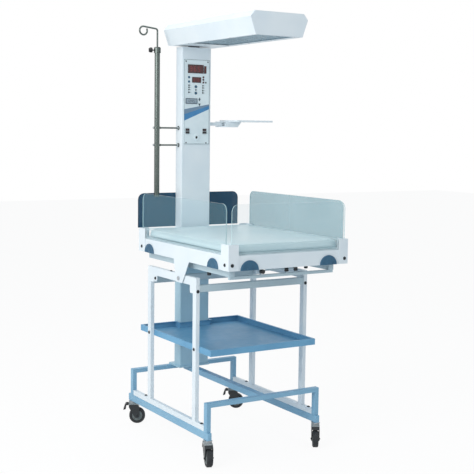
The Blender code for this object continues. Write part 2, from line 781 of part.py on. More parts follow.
def build_side_frames():
    rear_upright = REAR_UPRIGHT_FACE + UPRIGHT_DEPTH
    sole_end = ARCH_HALF_SPAN - ARCH_DEPTH - GAP
    sole_top = SOLE_BOTTOM + SOLE_HEIGHT
    bar_bottom = SIDE_TOP - SIDE_BAR_HEIGHT
    outer = [
        (-sole_end, SOLE_BOTTOM),
        (sole_end, SOLE_BOTTOM),
        (sole_end, sole_top),
        (rear_upright, sole_top),
        (rear_upright, SIDE_TOP),
        (FRONT_UPRIGHT_FACE, SIDE_TOP),
        (FRONT_UPRIGHT_FACE, sole_top),
        (-sole_end, sole_top),
    ]
    window_front = FRONT_UPRIGHT_FACE + UPRIGHT_DEPTH
    window = [
        (window_front, sole_top),
        (REAR_UPRIGHT_FACE, sole_top),
        (REAR_UPRIGHT_FACE, bar_bottom - GUSSET_HEIGHT),
        (REAR_UPRIGHT_FACE - GUSSET_LENGTH, bar_bottom - GUSSET_HEIGHT),
        (REAR_UPRIGHT_FACE - GUSSET_LENGTH, bar_bottom),
        (window_front + GUSSET_LENGTH, bar_bottom),
        (window_front + GUSSET_LENGTH, bar_bottom - GUSSET_HEIGHT),
        (window_front, bar_bottom - GUSSET_HEIGHT),
    ]
    pin_hole = circle((TILT_Y, TILT_HEIGHT), TILT_PIN_RADIUS + RUNNING_CLEARANCE, PIN_STEPS)
    for side, sign in (("left", -1), ("right", 1)):
        faces = sorted((sign * SIDE_HALF_WIDTH, sign * SIDE_INNER))
        frame = plate(
            "side_frame_" + side, [outer, window, pin_hole], faces[0], faces[1], "YZ", WHITE_PAINT
        )
        bevel_edges(frame, EDGE_ROUND / 2)


def build_crossbars():
    half = SIDE_INNER - GAP
    for end, face, bottom in (
        ("front", FRONT_UPRIGHT_FACE, SIDE_TOP - FRONT_CROSSBAR_DROP),
        ("rear", REAR_UPRIGHT_FACE, SIDE_TOP - REAR_CROSSBAR_DROP),
    ):
        block(
            "crossbar_" + end,
            (-half, face, bottom),
            (half, face + CROSSBAR_DEPTH, bottom + CROSSBAR_HEIGHT),
            GREY_PAINT,
            edge=EDGE_ROUND,
        )


def notched(half, front, rear, notch_half, notch_y, inset):
    """A rectangle with a notch for the column in its rear side, drawn in by the inset all round."""
    half -= inset
    front += inset
    rear -= inset
    notch_half += inset
    notch_y -= inset
    return [
        (-half, front),
        (half, front),
        (half, rear),
        (notch_half, rear),
        (notch_half, notch_y),
        (-notch_half, notch_y),
        (-notch_half, rear),
        (-half, rear),
    ]


def build_tray():
    """The storage tray: folded sheet round the column, with a lip turned in along its rim."""
    bottom = TRAY_RIM_TOP - TRAY_HEIGHT
    size = (
        SIDE_INNER - GAP,
        TRAY_FRONT,
        TRAY_REAR,
        COLUMN_HALF_WIDTH + TRAY_NOTCH_CLEARANCE,
        COLUMN_FRONT - TRAY_NOTCH_CLEARANCE,
    )
    tray = plate("storage_tray", [notched(*size, 0.0)], bottom, TRAY_RIM_TOP, "XY", BLUE_PAINT)
    hollow_bottom = bottom + TRAY_SHEET
    hollow_top = TRAY_RIM_TOP - TRAY_SHEET
    hollow = [notched(*size, TRAY_SHEET)]
    cut(tray, plate("tray_hollow", hollow, hollow_bottom, hollow_top, "XY", BLUE_PAINT))
    opening = [notched(*size, TRAY_LIP)]
    opening_bottom = bottom + TRAY_HEIGHT / 2
    opening_top = TRAY_RIM_TOP + OVERRUN
    cut(tray, plate("tray_opening", opening, opening_bottom, opening_top, "XY", BLUE_PAINT))


def build_column():
    """The column: an upright housing, hollow behind the fascia, on a foot plate over the rear arch."""
    corners = rectangle(-COLUMN_HALF_WIDTH, COLUMN_HALF_WIDTH, COLUMN_FRONT, COLUMN_REAR)
    outline = rounded(corners, COLUMN_CORNER)
    column = plate("column", [outline], COLUMN_BOTTOM, COLUMN_TOP, "XY", WHITE_PAINT)
    foot_half = COLUMN_HALF_WIDTH + FOOT_PLATE_MARGIN
    foot = block(
        "column_foot",
        (-foot_half, COLUMN_FRONT - FOOT_PLATE_MARGIN, COLUMN_BOTTOM),
        (foot_half, ARCH_HALF_SPAN, COLUMN_BOTTOM + FOOT_PLATE_THICKNESS),
        WHITE_PAINT,
    )
    join(column, foot)
    pocket_half = FASCIA_HALF_WIDTH - POCKET_MARGIN
    cut_block(
        column,
        (-pocket_half, COLUMN_FRONT - OVERRUN, FASCIA_BOTTOM + POCKET_MARGIN),
        (pocket_half, COLUMN_FRONT + POCKET_DEPTH, FASCIA_TOP - POCKET_MARGIN),
    )
    well_half = INLET_HALF_WIDTH - POCKET_MARGIN
    well_rise = INLET_HALF_HEIGHT - POCKET_MARGIN / 4
    cut_block(
        column,
        (-well_half, COLUMN_REAR - INLET_BODY_DEPTH - GAP, INLET_HEIGHT - well_rise),
        (well_half, COLUMN_REAR + OVERRUN, INLET_HEIGHT + well_rise),
    )


def build_fascia():
    corners = rectangle(-FASCIA_HALF_WIDTH, FASCIA_HALF_WIDTH, FASCIA_BOTTOM, FASCIA_TOP)
    loops = [rounded(corners, FASCIA_CORNER)]
    for height in KEY_HEIGHTS.values():
        loops.append(circle((KEY_X, height), KEY_RADIUS + KEY_CLEARANCE))
    for x in ROCKER_X.values():
        half = ROCKER_HALF_WIDTH + RUNNING_CLEARANCE
        rise = ROCKER_HALF_HEIGHT + ROCKER_CLEARANCE
        middle = ROCKER_HEIGHT_ABOVE_FLOOR
        loops.append(rectangle(x - half, x + half, middle - rise, middle + rise))
    loops.append(circle((SOCKET_X, SOCKET_HEIGHT), SOCKET_BARREL_RADIUS + GAP))
    plate("control_fascia", loops, FASCIA_FACE, FASCIA_BACK, "XZ", WHITE_PLASTIC)
    window_back = FASCIA_FACE - GAP
    window_face = window_back - WINDOW_THICKNESS
    block(
        "temperature_display",
        (DISPLAY_LEFT, window_face, DISPLAY_BOTTOM),
        (DISPLAY_RIGHT, window_back, DISPLAY_TOP),
        RED_WINDOW,
        edge=WINDOW_THICKNESS / 3,
    )
    block(
        "timer_display",
        (LCD_LEFT, window_face, LCD_BOTTOM),
        (LCD_RIGHT, window_back, LCD_TOP),
        GREY_WINDOW,
        edge=WINDOW_THICKNESS / 3,
    )


def build_controls():
    for name, height in KEY_HEIGHTS.items():
        flange = KEY_RADIUS + KEY_FLANGE
        neck = FASCIA_THICKNESS + GAP
        profile = [
            (0.0, KEY_PROUD),
            (KEY_RADIUS * KEY_TOP_SHARE, KEY_PROUD),
            (KEY_RADIUS, KEY_PROUD * KEY_SHOULDER_SHARE),
            (KEY_RADIUS, -neck),
            (flange, -neck),
            (flange, -neck - KEY_FLANGE_THICKNESS),
            (0.0, -neck - KEY_FLANGE_THICKNESS),
        ]
        place = (KEY_X, FASCIA_FACE, height)
        turned("setting_key_" + name, profile, DARK_BLUE_PLASTIC, place, ALONG_Y)
    for side, x in ROCKER_X.items():
        build_rocker(side, x)
    build_probe_socket()


def build_rocker(side, x):
    """A rocker switch, resting in its off state with its upper end pushed in."""
    front = -ROCKER_FRONT
    outline = [
        (front, ROCKER_HALF_HEIGHT),
        (front + ROCKER_DIP, 0.0),
        (front, -ROCKER_HALF_HEIGHT),
        (ROCKER_BACK, -ROCKER_HALF_HEIGHT * ROCKER_BACK_SHARE),
        (ROCKER_BACK, ROCKER_HALF_HEIGHT * ROCKER_BACK_SHARE),
    ]
    mesh = plate_mesh(
        "rocker_switch_" + side, [outline], -ROCKER_HALF_WIDTH, ROCKER_HALF_WIDTH, "YZ"
    )
    rocker = add_object("rocker_switch_" + side, mesh, BLACK_PLASTIC)
    rocker.location = (x, FASCIA_FACE, ROCKER_HEIGHT_ABOVE_FLOOR)
    rocker.rotation_euler = (math.radians(-ROCKER_TILT), 0.0, 0.0)


def build_probe_socket():
    flange_face = SOCKET_FLANGE_THICKNESS + GAP
    profile = [
        (0.0, flange_face - SOCKET_BORE_DEPTH),
        (SOCKET_BORE_RADIUS, flange_face - SOCKET_BORE_DEPTH),
        (SOCKET_BORE_RADIUS, flange_face),
        (SOCKET_FLANGE_RADIUS * SOCKET_FACE_SHARE, flange_face),
        (SOCKET_FLANGE_RADIUS, flange_face - SOCKET_FLANGE_THICKNESS / 2),
        (SOCKET_FLANGE_RADIUS, GAP),
        (SOCKET_BARREL_RADIUS, GAP),
        (SOCKET_BARREL_RADIUS, flange_face - SOCKET_LENGTH),
        (0.0, flange_face - SOCKET_LENGTH),
    ]
    place = (SOCKET_X, FASCIA_FACE, SOCKET_HEIGHT)
    turned("probe_socket", profile, WHITE_PLASTIC, place, ALONG_Y)


def build_inlet():
    """The mains inlet: a flanged socket let into the column's back, near its foot."""
    back = COLUMN_REAR + GAP
    inlet = block(
        "power_inlet",
        (-INLET_HALF_WIDTH, back, INLET_HEIGHT - INLET_HALF_HEIGHT),
        (INLET_HALF_WIDTH, back + INLET_THICKNESS, INLET_HEIGHT + INLET_HALF_HEIGHT),
        BLACK_PLASTIC,
        edge=EDGE_ROUND / 2,
    )
    body_half = INLET_HALF_WIDTH - POCKET_MARGIN - GAP
    body_rise = INLET_HALF_HEIGHT - POCKET_MARGIN / 4 - GAP
    body = block(
        "power_inlet_body",
        (-body_half, COLUMN_REAR - INLET_BODY_DEPTH, INLET_HEIGHT - body_rise),
        (body_half, back + INLET_THICKNESS / 2, INLET_HEIGHT + body_rise),
        BLACK_PLASTIC,
    )
    join(inlet, body)
    cut_block(
        inlet,
        (-INLET_WELL_HALF_WIDTH, back + INLET_THICKNESS - INLET_WELL_DEPTH,
         INLET_HEIGHT - INLET_WELL_HALF_HEIGHT),
        (INLET_WELL_HALF_WIDTH, back + INLET_THICKNESS + OVERRUN,
         INLET_HEIGHT + INLET_WELL_HALF_HEIGHT),
    )


def build_swivel_bearing():
    """The bearing on the column's top: a flange under the canopy's floor and a collar over it."""
    bottom = COLUMN_TOP + GAP
    seat = CANOPY_BOTTOM - GAP
    collar = CANOPY_FLOOR_TOP + GAP
    profile = [
        (0.0, collar + SWIVEL_COLLAR_THICKNESS),
        (SWIVEL_FLANGE_RADIUS, collar + SWIVEL_COLLAR_THICKNESS),
        (SWIVEL_FLANGE_RADIUS, collar),
        (SWIVEL_HUB_RADIUS, collar),
        (SWIVEL_HUB_RADIUS, seat),
        (SWIVEL_FLANGE_RADIUS, seat),
        (SWIVEL_FLANGE_RADIUS, bottom),
        (0.0, bottom),
    ]
    turned("swivel_bearing", profile, BLACK_PLASTIC, (0.0, COLUMN_MIDDLE, 0.0))


def build_canopy():
    """The canopy: a six-sided sheet hood, open below in front of the column."""
    section = [
        (-CANOPY_HALF_BOTTOM, CANOPY_BOTTOM),
        (CANOPY_HALF_BOTTOM, CANOPY_BOTTOM),
        (CANOPY_HALF_CREASE, CANOPY_CREASE),
        (CANOPY_HALF_TOP, CANOPY_TOP),
        (-CANOPY_HALF_TOP, CANOPY_TOP),
        (-CANOPY_HALF_CREASE, CANOPY_CREASE),
    ]
    mesh = plate_mesh("canopy_shell", [section], CANOPY_FRONT, CANOPY_REAR, "XZ")
    shape = bmesh.new()
    shape.from_mesh(mesh)
    bmesh.ops.dissolve_limit(
        shape, angle_limit=math.radians(1), verts=shape.verts, edges=shape.edges
    )
    bmesh.ops.bisect_plane(
        shape,
        geom=shape.verts[:] + shape.edges[:] + shape.faces[:],
        plane_co=(0.0, CANOPY_OPENING_REAR, 0.0),
        plane_no=(0, 1, 0),
    )
    floor = [
        face
        for face in shape.faces
        if face.normal.z < -DOWNWARD_SHARE and face.calc_center_median().y < CANOPY_OPENING_REAR
    ]
    bmesh.ops.inset_region(shape, faces=floor, thickness=CANOPY_FLANGE, use_even_offset=True)
    bmesh.ops.delete(shape, geom=floor, context="FACES")
    shape.to_mesh(mesh)
    shape.free()
    pivot = (0.0, COLUMN_MIDDLE, CANOPY_BOTTOM)
    canopy = add_object("canopy_shell", mesh, WHITE_PAINT, origin=pivot)
    sheet = canopy.modifiers.new("sheet", "SOLIDIFY")
    sheet.thickness = CANOPY_SHEET
    sheet.offset = -1
    sheet.use_even_offset = True
    hole = SWIVEL_HUB_RADIUS + RUNNING_CLEARANCE
    cut_hole(canopy, (0.0, COLUMN_MIDDLE, CANOPY_BOTTOM), hole, OVERRUN, (0.0, 0.0, 0.0))


def heater_bay():
    """The front and rear ends and the half width of what lies on the canopy's flange."""
    front = CANOPY_FRONT + CANOPY_FLANGE - GUARD_OVERLAP
    rear = CANOPY_OPENING_REAR - CANOPY_FLANGE + GUARD_OVERLAP
    half = CANOPY_HALF_BOTTOM - CANOPY_FLANGE + GUARD_OVERLAP
    return front, rear, half


def build_guard():
    """The heater guard: crossed wires with a frame, one closed net."""
    front, rear, half = heater_bay()
    centre_z = CANOPY_FLOOR_TOP + GAP + GUARD_WIRE / 2
    shape = bmesh.new()
    bmesh.ops.create_grid(shape, x_segments=GUARD_COLUMNS, y_segments=GUARD_ROWS, size=1)
    scale = (half - GUARD_WIRE, (rear - front) / 2 - GUARD_WIRE, 1)
    bmesh.ops.scale(shape, vec=scale, verts=shape.verts)
    bmesh.ops.translate(shape, vec=(0.0, (front + rear) / 2, centre_z), verts=shape.verts)
    mesh = mesh_from_bmesh("heater_guard", shape)
    guard = add_object("heater_guard", mesh, STEEL, origin=(0.0, COLUMN_MIDDLE, CANOPY_BOTTOM))
    wires = guard.modifiers.new("wires", "WIREFRAME")
    wires.thickness = GUARD_WIRE
    wires.use_boundary = True
    wires.use_even_offset = True


def build_reflector():
    """The reflector: a parabolic trough with end plates and flanges that lie on the guard."""
    front, rear, half = heater_bay()
    flange_bottom = CANOPY_FLOOR_TOP + 2 * GAP + GUARD_WIRE
    upper = []
    lower = []
    for step in range(REFLECTOR_STEPS + 1):
        share = 2 * step / REFLECTOR_STEPS - 1
        height = REFLECTOR_RISE * (1 - share * share)
        x = REFLECTOR_HALF_WIDTH * share
        upper.append((x, flange_bottom + height + REFLECTOR_SHEET))
        slim = (REFLECTOR_HALF_WIDTH - REFLECTOR_SHEET) / REFLECTOR_HALF_WIDTH
        lower.append((x * slim, flange_bottom + height))
    outline = [(-half, flange_bottom), *lower, (half, flange_bottom)]
    outline += [(half, flange_bottom + REFLECTOR_SHEET), *upper[::-1]]
    outline += [(-half, flange_bottom + REFLECTOR_SHEET)]
    trough_front = front + REFLECTOR_END_GAP
    trough_rear = rear - REFLECTOR_END_GAP
    pivot = (0.0, COLUMN_MIDDLE, CANOPY_BOTTOM)
    reflector = plate(
        "heater_reflector", [outline], trough_front, trough_rear, "XZ", POLISHED, origin=pivot
    )
    element = (0.0, CANOPY_FLOOR_TOP + ELEMENT_HEIGHT)
    hole = circle(element, ELEMENT_RADIUS + RUNNING_CLEARANCE, PIN_STEPS)
    inset = 3 * REFLECTOR_SHEET
    cap = [upper[0], *upper[1:-1], upper[-1]]
    cap_loop = [(x, z - REFLECTOR_SHEET / 2) for x, z in cap]
    for end, low in (("front", trough_front + inset), ("rear", trough_rear - inset - REFLECTOR_SHEET)):
        name = "reflector_end_" + end
        wall = plate(name, [cap_loop, hole], low, low + REFLECTOR_SHEET, "XZ", POLISHED)
        join(reflector, wall)
    build_element(trough_front + inset, trough_rear - inset, element[1])


def build_element(front, rear, height):
    """The heating element: a ceramic rod whose ends pass through the reflector's end plates."""
    half = (rear - front) / 2 + ELEMENT_END_MARGIN
    collar = ELEMENT_RADIUS + ELEMENT_COLLAR
    collar_end = half - ELEMENT_END_MARGIN - REFLECTOR_SHEET - GAP
    profile = [
        (0.0, half),
        (ELEMENT_RADIUS, half),
        (ELEMENT_RADIUS, collar_end),
        (collar, collar_end),
        (collar, collar_end - ELEMENT_COLLAR_LENGTH),
        (ELEMENT_RADIUS, collar_end - ELEMENT_COLLAR_LENGTH),
        (ELEMENT_RADIUS, ELEMENT_COLLAR_LENGTH - collar_end),
        (collar, ELEMENT_COLLAR_LENGTH - collar_end),
        (collar, -collar_end),
        (ELEMENT_RADIUS, -collar_end),
        (ELEMENT_RADIUS, -half),
        (0.0, -half),
    ]
    place = (0.0, (front + rear) / 2, height)
    turned("heating_element", profile, CERAMIC, place, ALONG_Y, steps=PIN_STEPS)


def build_pole():
    """The infusion pole: a tube with a collar and a bottom plug, and the rod that slides in it."""
    bore = ROD_RADIUS + RUNNING_CLEARANCE
    inner = POLE_RADIUS - POLE_WALL
    collar_bottom = POLE_TOP - POLE_COLLAR_HEIGHT
    profile = [
        (bore, POLE_TOP),
        (POLE_COLLAR_RADIUS, POLE_TOP),
        (POLE_COLLAR_RADIUS, collar_bottom),
        (POLE_RADIUS, collar_bottom),
        (POLE_RADIUS, POLE_BOTTOM + POLE_PLUG_HEIGHT),
        (POLE_RADIUS + POLE_WALL, POLE_BOTTOM + POLE_PLUG_HEIGHT),
        (POLE_RADIUS, POLE_BOTTOM),
        (0.0, POLE_BOTTOM),
        (0.0, POLE_BOTTOM + POLE_PLUG_HEIGHT),
        (inner, POLE_BOTTOM + POLE_PLUG_HEIGHT),
        (inner, collar_bottom),
        (bore, collar_bottom),
        (bore, POLE_TOP),
    ]
    tube = turned("pole_tube", profile, STEEL, (POLE_X, COLUMN_MIDDLE, 0.0))
    stem_hole = KNOB_STEM_RADIUS + RUNNING_CLEARANCE
    knob_height = POLE_TOP - POLE_COLLAR_HEIGHT / 2
    profile = [(0.0, 0.0), (stem_hole, 0.0), (stem_hole, -POLE_RADIUS - OVERRUN),
               (0.0, -POLE_RADIUS - OVERRUN)]
    cut(tube, turned("pole_tube_stem_hole", profile, STEEL,
                     (POLE_X, COLUMN_MIDDLE, knob_height), ALONG_X, steps=STEM_STEPS))
    build_hook_rod()
    build_pole_knob(knob_height)


def build_hook_rod():
    """The sliding rod: it bends over at the top and ends in an open ring for the infusion bag."""
    points = [(POLE_X, COLUMN_MIDDLE, ROD_BEND_HEIGHT - ROD_BEND_RADIUS - ROD_INSERTED)]
    for step in range(ARC_STEPS + 1):
        turn = math.radians(90) * step / ARC_STEPS
        x = POLE_X - ROD_BEND_RADIUS * (1 - math.cos(turn))
        z = ROD_BEND_HEIGHT - ROD_BEND_RADIUS * (1 - math.sin(turn))
        points.append((x, COLUMN_MIDDLE, z))
    ring_x = POLE_X - ROD_BEND_RADIUS - ROD_ARM_LENGTH - ROD_RING_RADIUS / 2
    ring_z = ROD_BEND_HEIGHT + ROD_ARM_RISE - ROD_RING_RADIUS
    for step in range(ROD_RING_STEPS + 1):
        turn = math.radians(90 + ROD_RING_TURN * step / ROD_RING_STEPS)
        x = ring_x + ROD_RING_RADIUS * math.cos(turn)
        z = ring_z + ROD_RING_RADIUS * math.sin(turn)
        points.append((x, COLUMN_MIDDLE, z))
    mesh = rod_mesh("hook_rod", points, ROD_RADIUS)
    rod = add_object("hook_rod", mesh, STEEL, origin=(POLE_X, COLUMN_MIDDLE, POLE_TOP))
    shade_round(rod)


def build_pole_knob(height):
    """The star knob that clamps the rod: a lobed grip on a stem."""
    outline = []
    for step in range(KNOB_STEPS):
        turn = 2 * math.pi * step / KNOB_STEPS
        radius = KNOB_RADIUS - KNOB_LOBE_DEPTH * (1 + math.cos(KNOB_LOBES * turn)) / 2
        outline.append((COLUMN_MIDDLE + radius * math.cos(turn), height + radius * math.sin(turn)))
    near = POLE_X - POLE_COLLAR_RADIUS - KNOB_STEM_LENGTH
    pivot = (POLE_X, COLUMN_MIDDLE, height)
    knob = plate(
        "pole_knob", [outline], near - KNOB_THICKNESS, near, "YZ", BLACK_PLASTIC, origin=pivot
    )
    bevel_edges(knob, EDGE_ROUND)
    tip = ROD_RADIUS + GAP
    reach = POLE_X - near + KNOB_THICKNESS / 2
    profile = [(0.0, -tip), (KNOB_STEM_RADIUS, -tip), (KNOB_STEM_RADIUS, -reach), (0.0, -reach)]
    join(knob, turned("pole_knob_stem", profile, STEEL, pivot, ALONG_X, steps=STEM_STEPS))


def build_pole_holders():
    """Two holders: a ring round the pole and an arm with a round foot on the column's side."""
    foot_face = -COLUMN_HALF_WIDTH - GAP
    for name, height in HOLDER_HEIGHTS.items():
        inner = POLE_RADIUS + GAP
        half = HOLDER_RING_HEIGHT / 2
        profile = [
            (inner, half),
            (HOLDER_RING_RADIUS, half),
            (HOLDER_RING_RADIUS, -half),
            (inner, -half),
            (inner, half),
        ]
        place = (POLE_X, COLUMN_MIDDLE, height)
        holder = turned("pole_holder_" + name, profile, STEEL, place)
        start = (POLE_X + (inner + HOLDER_RING_RADIUS) / 2, COLUMN_MIDDLE, height)
        foot_back = foot_face - HOLDER_FOOT_THICKNESS / 2
        arm_mesh = rod_mesh(
            "pole_holder_arm", [start, (foot_back, COLUMN_MIDDLE, height)], HOLDER_ARM_RADIUS
        )
        join(holder, add_object("pole_holder_arm_" + name, arm_mesh, STEEL))
        foot_mesh = rod_mesh(
            "pole_holder_foot",
            [
                (foot_face - HOLDER_FOOT_THICKNESS, COLUMN_MIDDLE, height),
                (foot_face, COLUMN_MIDDLE, height),
            ],
            HOLDER_FOOT_RADIUS,
        )
        join(holder, add_object("pole_holder_foot_" + name, foot_mesh, STEEL))


def build_shelf():
    """The instrument shelf: a wall plate and arm on the column, and the tray that swings on its pin."""
    wall_face = COLUMN_HALF_WIDTH + GAP
    bracket = block(
        "shelf_bracket",
        (wall_face, COLUMN_MIDDLE - SHELF_PLATE_HALF_DEPTH, SHELF_PLATE_BOTTOM),
        (wall_face + SHELF_PLATE_THICKNESS, COLUMN_MIDDLE + SHELF_PLATE_HALF_DEPTH, SHELF_PLATE_TOP),
        WHITE_PAINT,
    )
    tip = SHELF_PIVOT_X + SHELF_ARM_HALF_DEPTH
    low = COLUMN_MIDDLE - SHELF_ARM_HALF_DEPTH
    high = COLUMN_MIDDLE + SHELF_ARM_HALF_DEPTH
    arm_corners = rectangle(wall_face + SHELF_PLATE_THICKNESS / 2, tip, low, high)
    arm_round = SHELF_ARM_HALF_DEPTH * SHELF_ARM_ROUND_SHARE
    arm_radii = [0.0, arm_round, arm_round, 0.0]
    arm = plate(
        "shelf_arm", [rounded(arm_corners, arm_radii)], SHELF_ARM_BOTTOM, SHELF_ARM_TOP, "XY",
        WHITE_PAINT,
    )
    join(bracket, arm)
    pin_bottom = SHELF_BLOCK_BOTTOM + GAP
    pin_top = SHELF_TOP - SHELF_RIM_HEIGHT - GAP
    profile = [
        (0.0, pin_top),
        (SHELF_PIN_RADIUS, pin_top),
        (SHELF_PIN_RADIUS, pin_bottom),
        (0.0, pin_bottom),
    ]
    pivot = (SHELF_PIVOT_X, COLUMN_MIDDLE, 0.0)
    join(bracket, turned("shelf_pin", profile, STEEL, pivot, steps=PIN_STEPS))
    build_shelf_tray(pin_bottom, pin_top)


def build_shelf_tray(pin_bottom, pin_top):
    pivot = (SHELF_PIVOT_X, COLUMN_MIDDLE, SHELF_ARM_TOP)
    tray_bottom = SHELF_TOP - SHELF_RIM_HEIGHT
    low = COLUMN_MIDDLE - SHELF_HALF_DEPTH
    high = COLUMN_MIDDLE + SHELF_HALF_DEPTH
    outline = rounded(rectangle(SHELF_START, SHELF_END, low, high), SHELF_CORNER)
    shelf = plate(
        "instrument_shelf", [outline], tray_bottom, SHELF_TOP, "XY", WHITE_PAINT, origin=pivot
    )
    pocket = rounded(
        rectangle(
            SHELF_START + SHELF_SHEET, SHELF_END - SHELF_SHEET, low + SHELF_SHEET, high - SHELF_SHEET
        ),
        SHELF_CORNER - SHELF_SHEET,
    )
    cut(shelf, plate("shelf_pocket", [pocket], tray_bottom + SHELF_SHEET, SHELF_TOP + OVERRUN, "XY",
                     WHITE_PAINT))
    taper_start = SHELF_BLOCK_END - SHELF_BLOCK_TAPER
    block_top = tray_bottom + SHELF_SHEET / 2
    profile = [
        (SHELF_BLOCK_START, SHELF_BLOCK_BOTTOM),
        (taper_start, SHELF_BLOCK_BOTTOM),
        (SHELF_BLOCK_END, block_top),
        (SHELF_BLOCK_START, block_top),
    ]
    block_low = COLUMN_MIDDLE - SHELF_BLOCK_HALF_DEPTH
    block_high = COLUMN_MIDDLE + SHELF_BLOCK_HALF_DEPTH
    support = plate("shelf_support", [profile], block_low, block_high, "XZ", WHITE_PAINT)
    join(shelf, support)
    cut_block(
        shelf,
        (SHELF_BLOCK_START - OVERRUN, block_low - OVERRUN, SHELF_ARM_BOTTOM - GAP),
        (SHELF_PIVOT_X + SHELF_FORK_DEPTH, block_high + OVERRUN, SHELF_ARM_TOP + GAP),
    )
    bore = SHELF_PIN_RADIUS + GAP
    bore_top = pin_top + GAP / 2
    profile = [(0.0, bore_top), (bore, bore_top), (bore, pin_bottom - OVERRUN),
               (0.0, pin_bottom - OVERRUN)]
    cut(shelf, turned("shelf_bore", profile, WHITE_PAINT, (SHELF_PIVOT_X, COLUMN_MIDDLE, 0.0),
                      steps=PIN_STEPS))


def pad_outline(centre):
    """A half-round pad, flat side down."""
    points = []
    for step in range(PAD_STEPS + 1):
        turn = math.pi * step / PAD_STEPS
        points.append(
            (centre + PAD_RADIUS * math.cos(turn), BED_RAIL_BOTTOM + PAD_HEIGHT * math.sin(turn))
        )
    return points


def build_bed_rails():
    pad_front = BED_FRONT + PAD_FRONT_INSET + PAD_RADIUS
    pad_rear = BED_REAR - PAD_REAR_INSET - PAD_RADIUS
    hanger = rounded(
        [
            (TILT_PLATE_TOP_REAR, BED_RAIL_BOTTOM + WELD_OVERLAP),
            (TILT_PLATE_TOP_FRONT, BED_RAIL_BOTTOM + WELD_OVERLAP),
            (TILT_PLATE_LOW_FRONT, TILT_PLATE_BOTTOM),
            (TILT_PLATE_LOW_REAR, TILT_PLATE_BOTTOM),
        ],
        [0.0, 0.0, TILT_PLATE_CORNER, TILT_PLATE_CORNER],
    )
    pin_hole = circle((TILT_Y, TILT_HEIGHT), TILT_PIN_RADIUS + RUNNING_CLEARANCE, PIN_STEPS)
    for side, sign in (("left", -1), ("right", 1)):
        faces = sorted((sign * BED_RAIL_OUTER, sign * BED_RAIL_INNER))
        rail = block(
            "bed_side_rail_" + side,
            (faces[0], BED_RAIL_FRONT, BED_RAIL_BOTTOM),
            (faces[1], BED_RAIL_REAR, BED_RAIL_TOP),
            WHITE_PAINT,
            origin=(0.0, TILT_Y, TILT_HEIGHT),
        )
        pad_faces = sorted((sign * (BED_RAIL_OUTER - PAD_PROUD), sign * (BED_RAIL_OUTER + PAD_PROUD)))
        for end, centre in (("front", pad_front), ("rear", pad_rear)):
            pad = plate(
                "pad_" + side + "_" + end, [pad_outline(centre)], pad_faces[0], pad_faces[1], "YZ",
                DARK_BLUE_PLASTIC,
            )
            join(rail, pad)
        plate_faces = sorted((sign * BED_RAIL_OUTER, sign * (BED_RAIL_OUTER - TILT_PLATE_THICKNESS)))
        tilt_plate = plate(
            "tilt_plate_" + side, [hanger, pin_hole], plate_faces[0], plate_faces[1], "YZ", WHITE_PAINT
        )
        join(rail, tilt_plate)
    build_front_rail()
    build_rear_rail()


def build_front_rail():
    half = BED_RAIL_INNER - GAP
    rail = block(
        "bed_front_rail",
        (-half, BED_RAIL_FRONT, BED_RAIL_BOTTOM),
        (half, BED_RAIL_FRONT + BED_RAIL_WIDTH, BED_RAIL_TOP),
        WHITE_PAINT,
        origin=(0.0, TILT_Y, TILT_HEIGHT),
    )
    centre = BED_HALF_WIDTH - PAD_END_INSET - PAD_RADIUS
    for side, sign in (("left", -1), ("right", 1)):
        pad = plate(
            "pad_front_" + side,
            [pad_outline(sign * centre)],
            BED_RAIL_FRONT - PAD_PROUD,
            BED_RAIL_FRONT + PAD_PROUD,
            "XZ",
            DARK_BLUE_PLASTIC,
        )
        join(rail, pad)


def build_rear_rail():
    """The rear rail, bent round the column's notch."""
    half = BED_RAIL_INNER - GAP
    notch_outer = NOTCH_HALF_WIDTH + BED_RAIL_WIDTH
    front = NOTCH_Y - BED_RAIL_WIDTH
    inner = BED_RAIL_REAR - BED_RAIL_WIDTH
    outline = [
        (-half, BED_RAIL_REAR),
        (-half, inner),
        (-notch_outer, inner),
        (-notch_outer, front),
        (notch_outer, front),
        (notch_outer, inner),
        (half, inner),
        (half, BED_RAIL_REAR),
        (NOTCH_HALF_WIDTH, BED_RAIL_REAR),
        (NOTCH_HALF_WIDTH, NOTCH_Y),
        (-NOTCH_HALF_WIDTH, NOTCH_Y),
        (-NOTCH_HALF_WIDTH, BED_RAIL_REAR),
    ]
    plate(
        "bed_rear_rail", [outline], BED_RAIL_BOTTOM, BED_RAIL_TOP, "XY", WHITE_PAINT,
        origin=(0.0, TILT_Y, TILT_HEIGHT),
    )


def build_deck():
    """The sheet deck that carries the mattress, notched round the column."""
    notch_half = NOTCH_HALF_WIDTH - DECK_EDGE
    notch_y = NOTCH_Y + DECK_EDGE
    outline = notched(BED_HALF_WIDTH, BED_FRONT, BED_REAR, notch_half, notch_y, DECK_EDGE)
    plate(
        "mattress_deck", [outline], DECK_BOTTOM, DECK_TOP, "XY", WHITE_PAINT,
        origin=(0.0, TILT_Y, TILT_HEIGHT),
    )


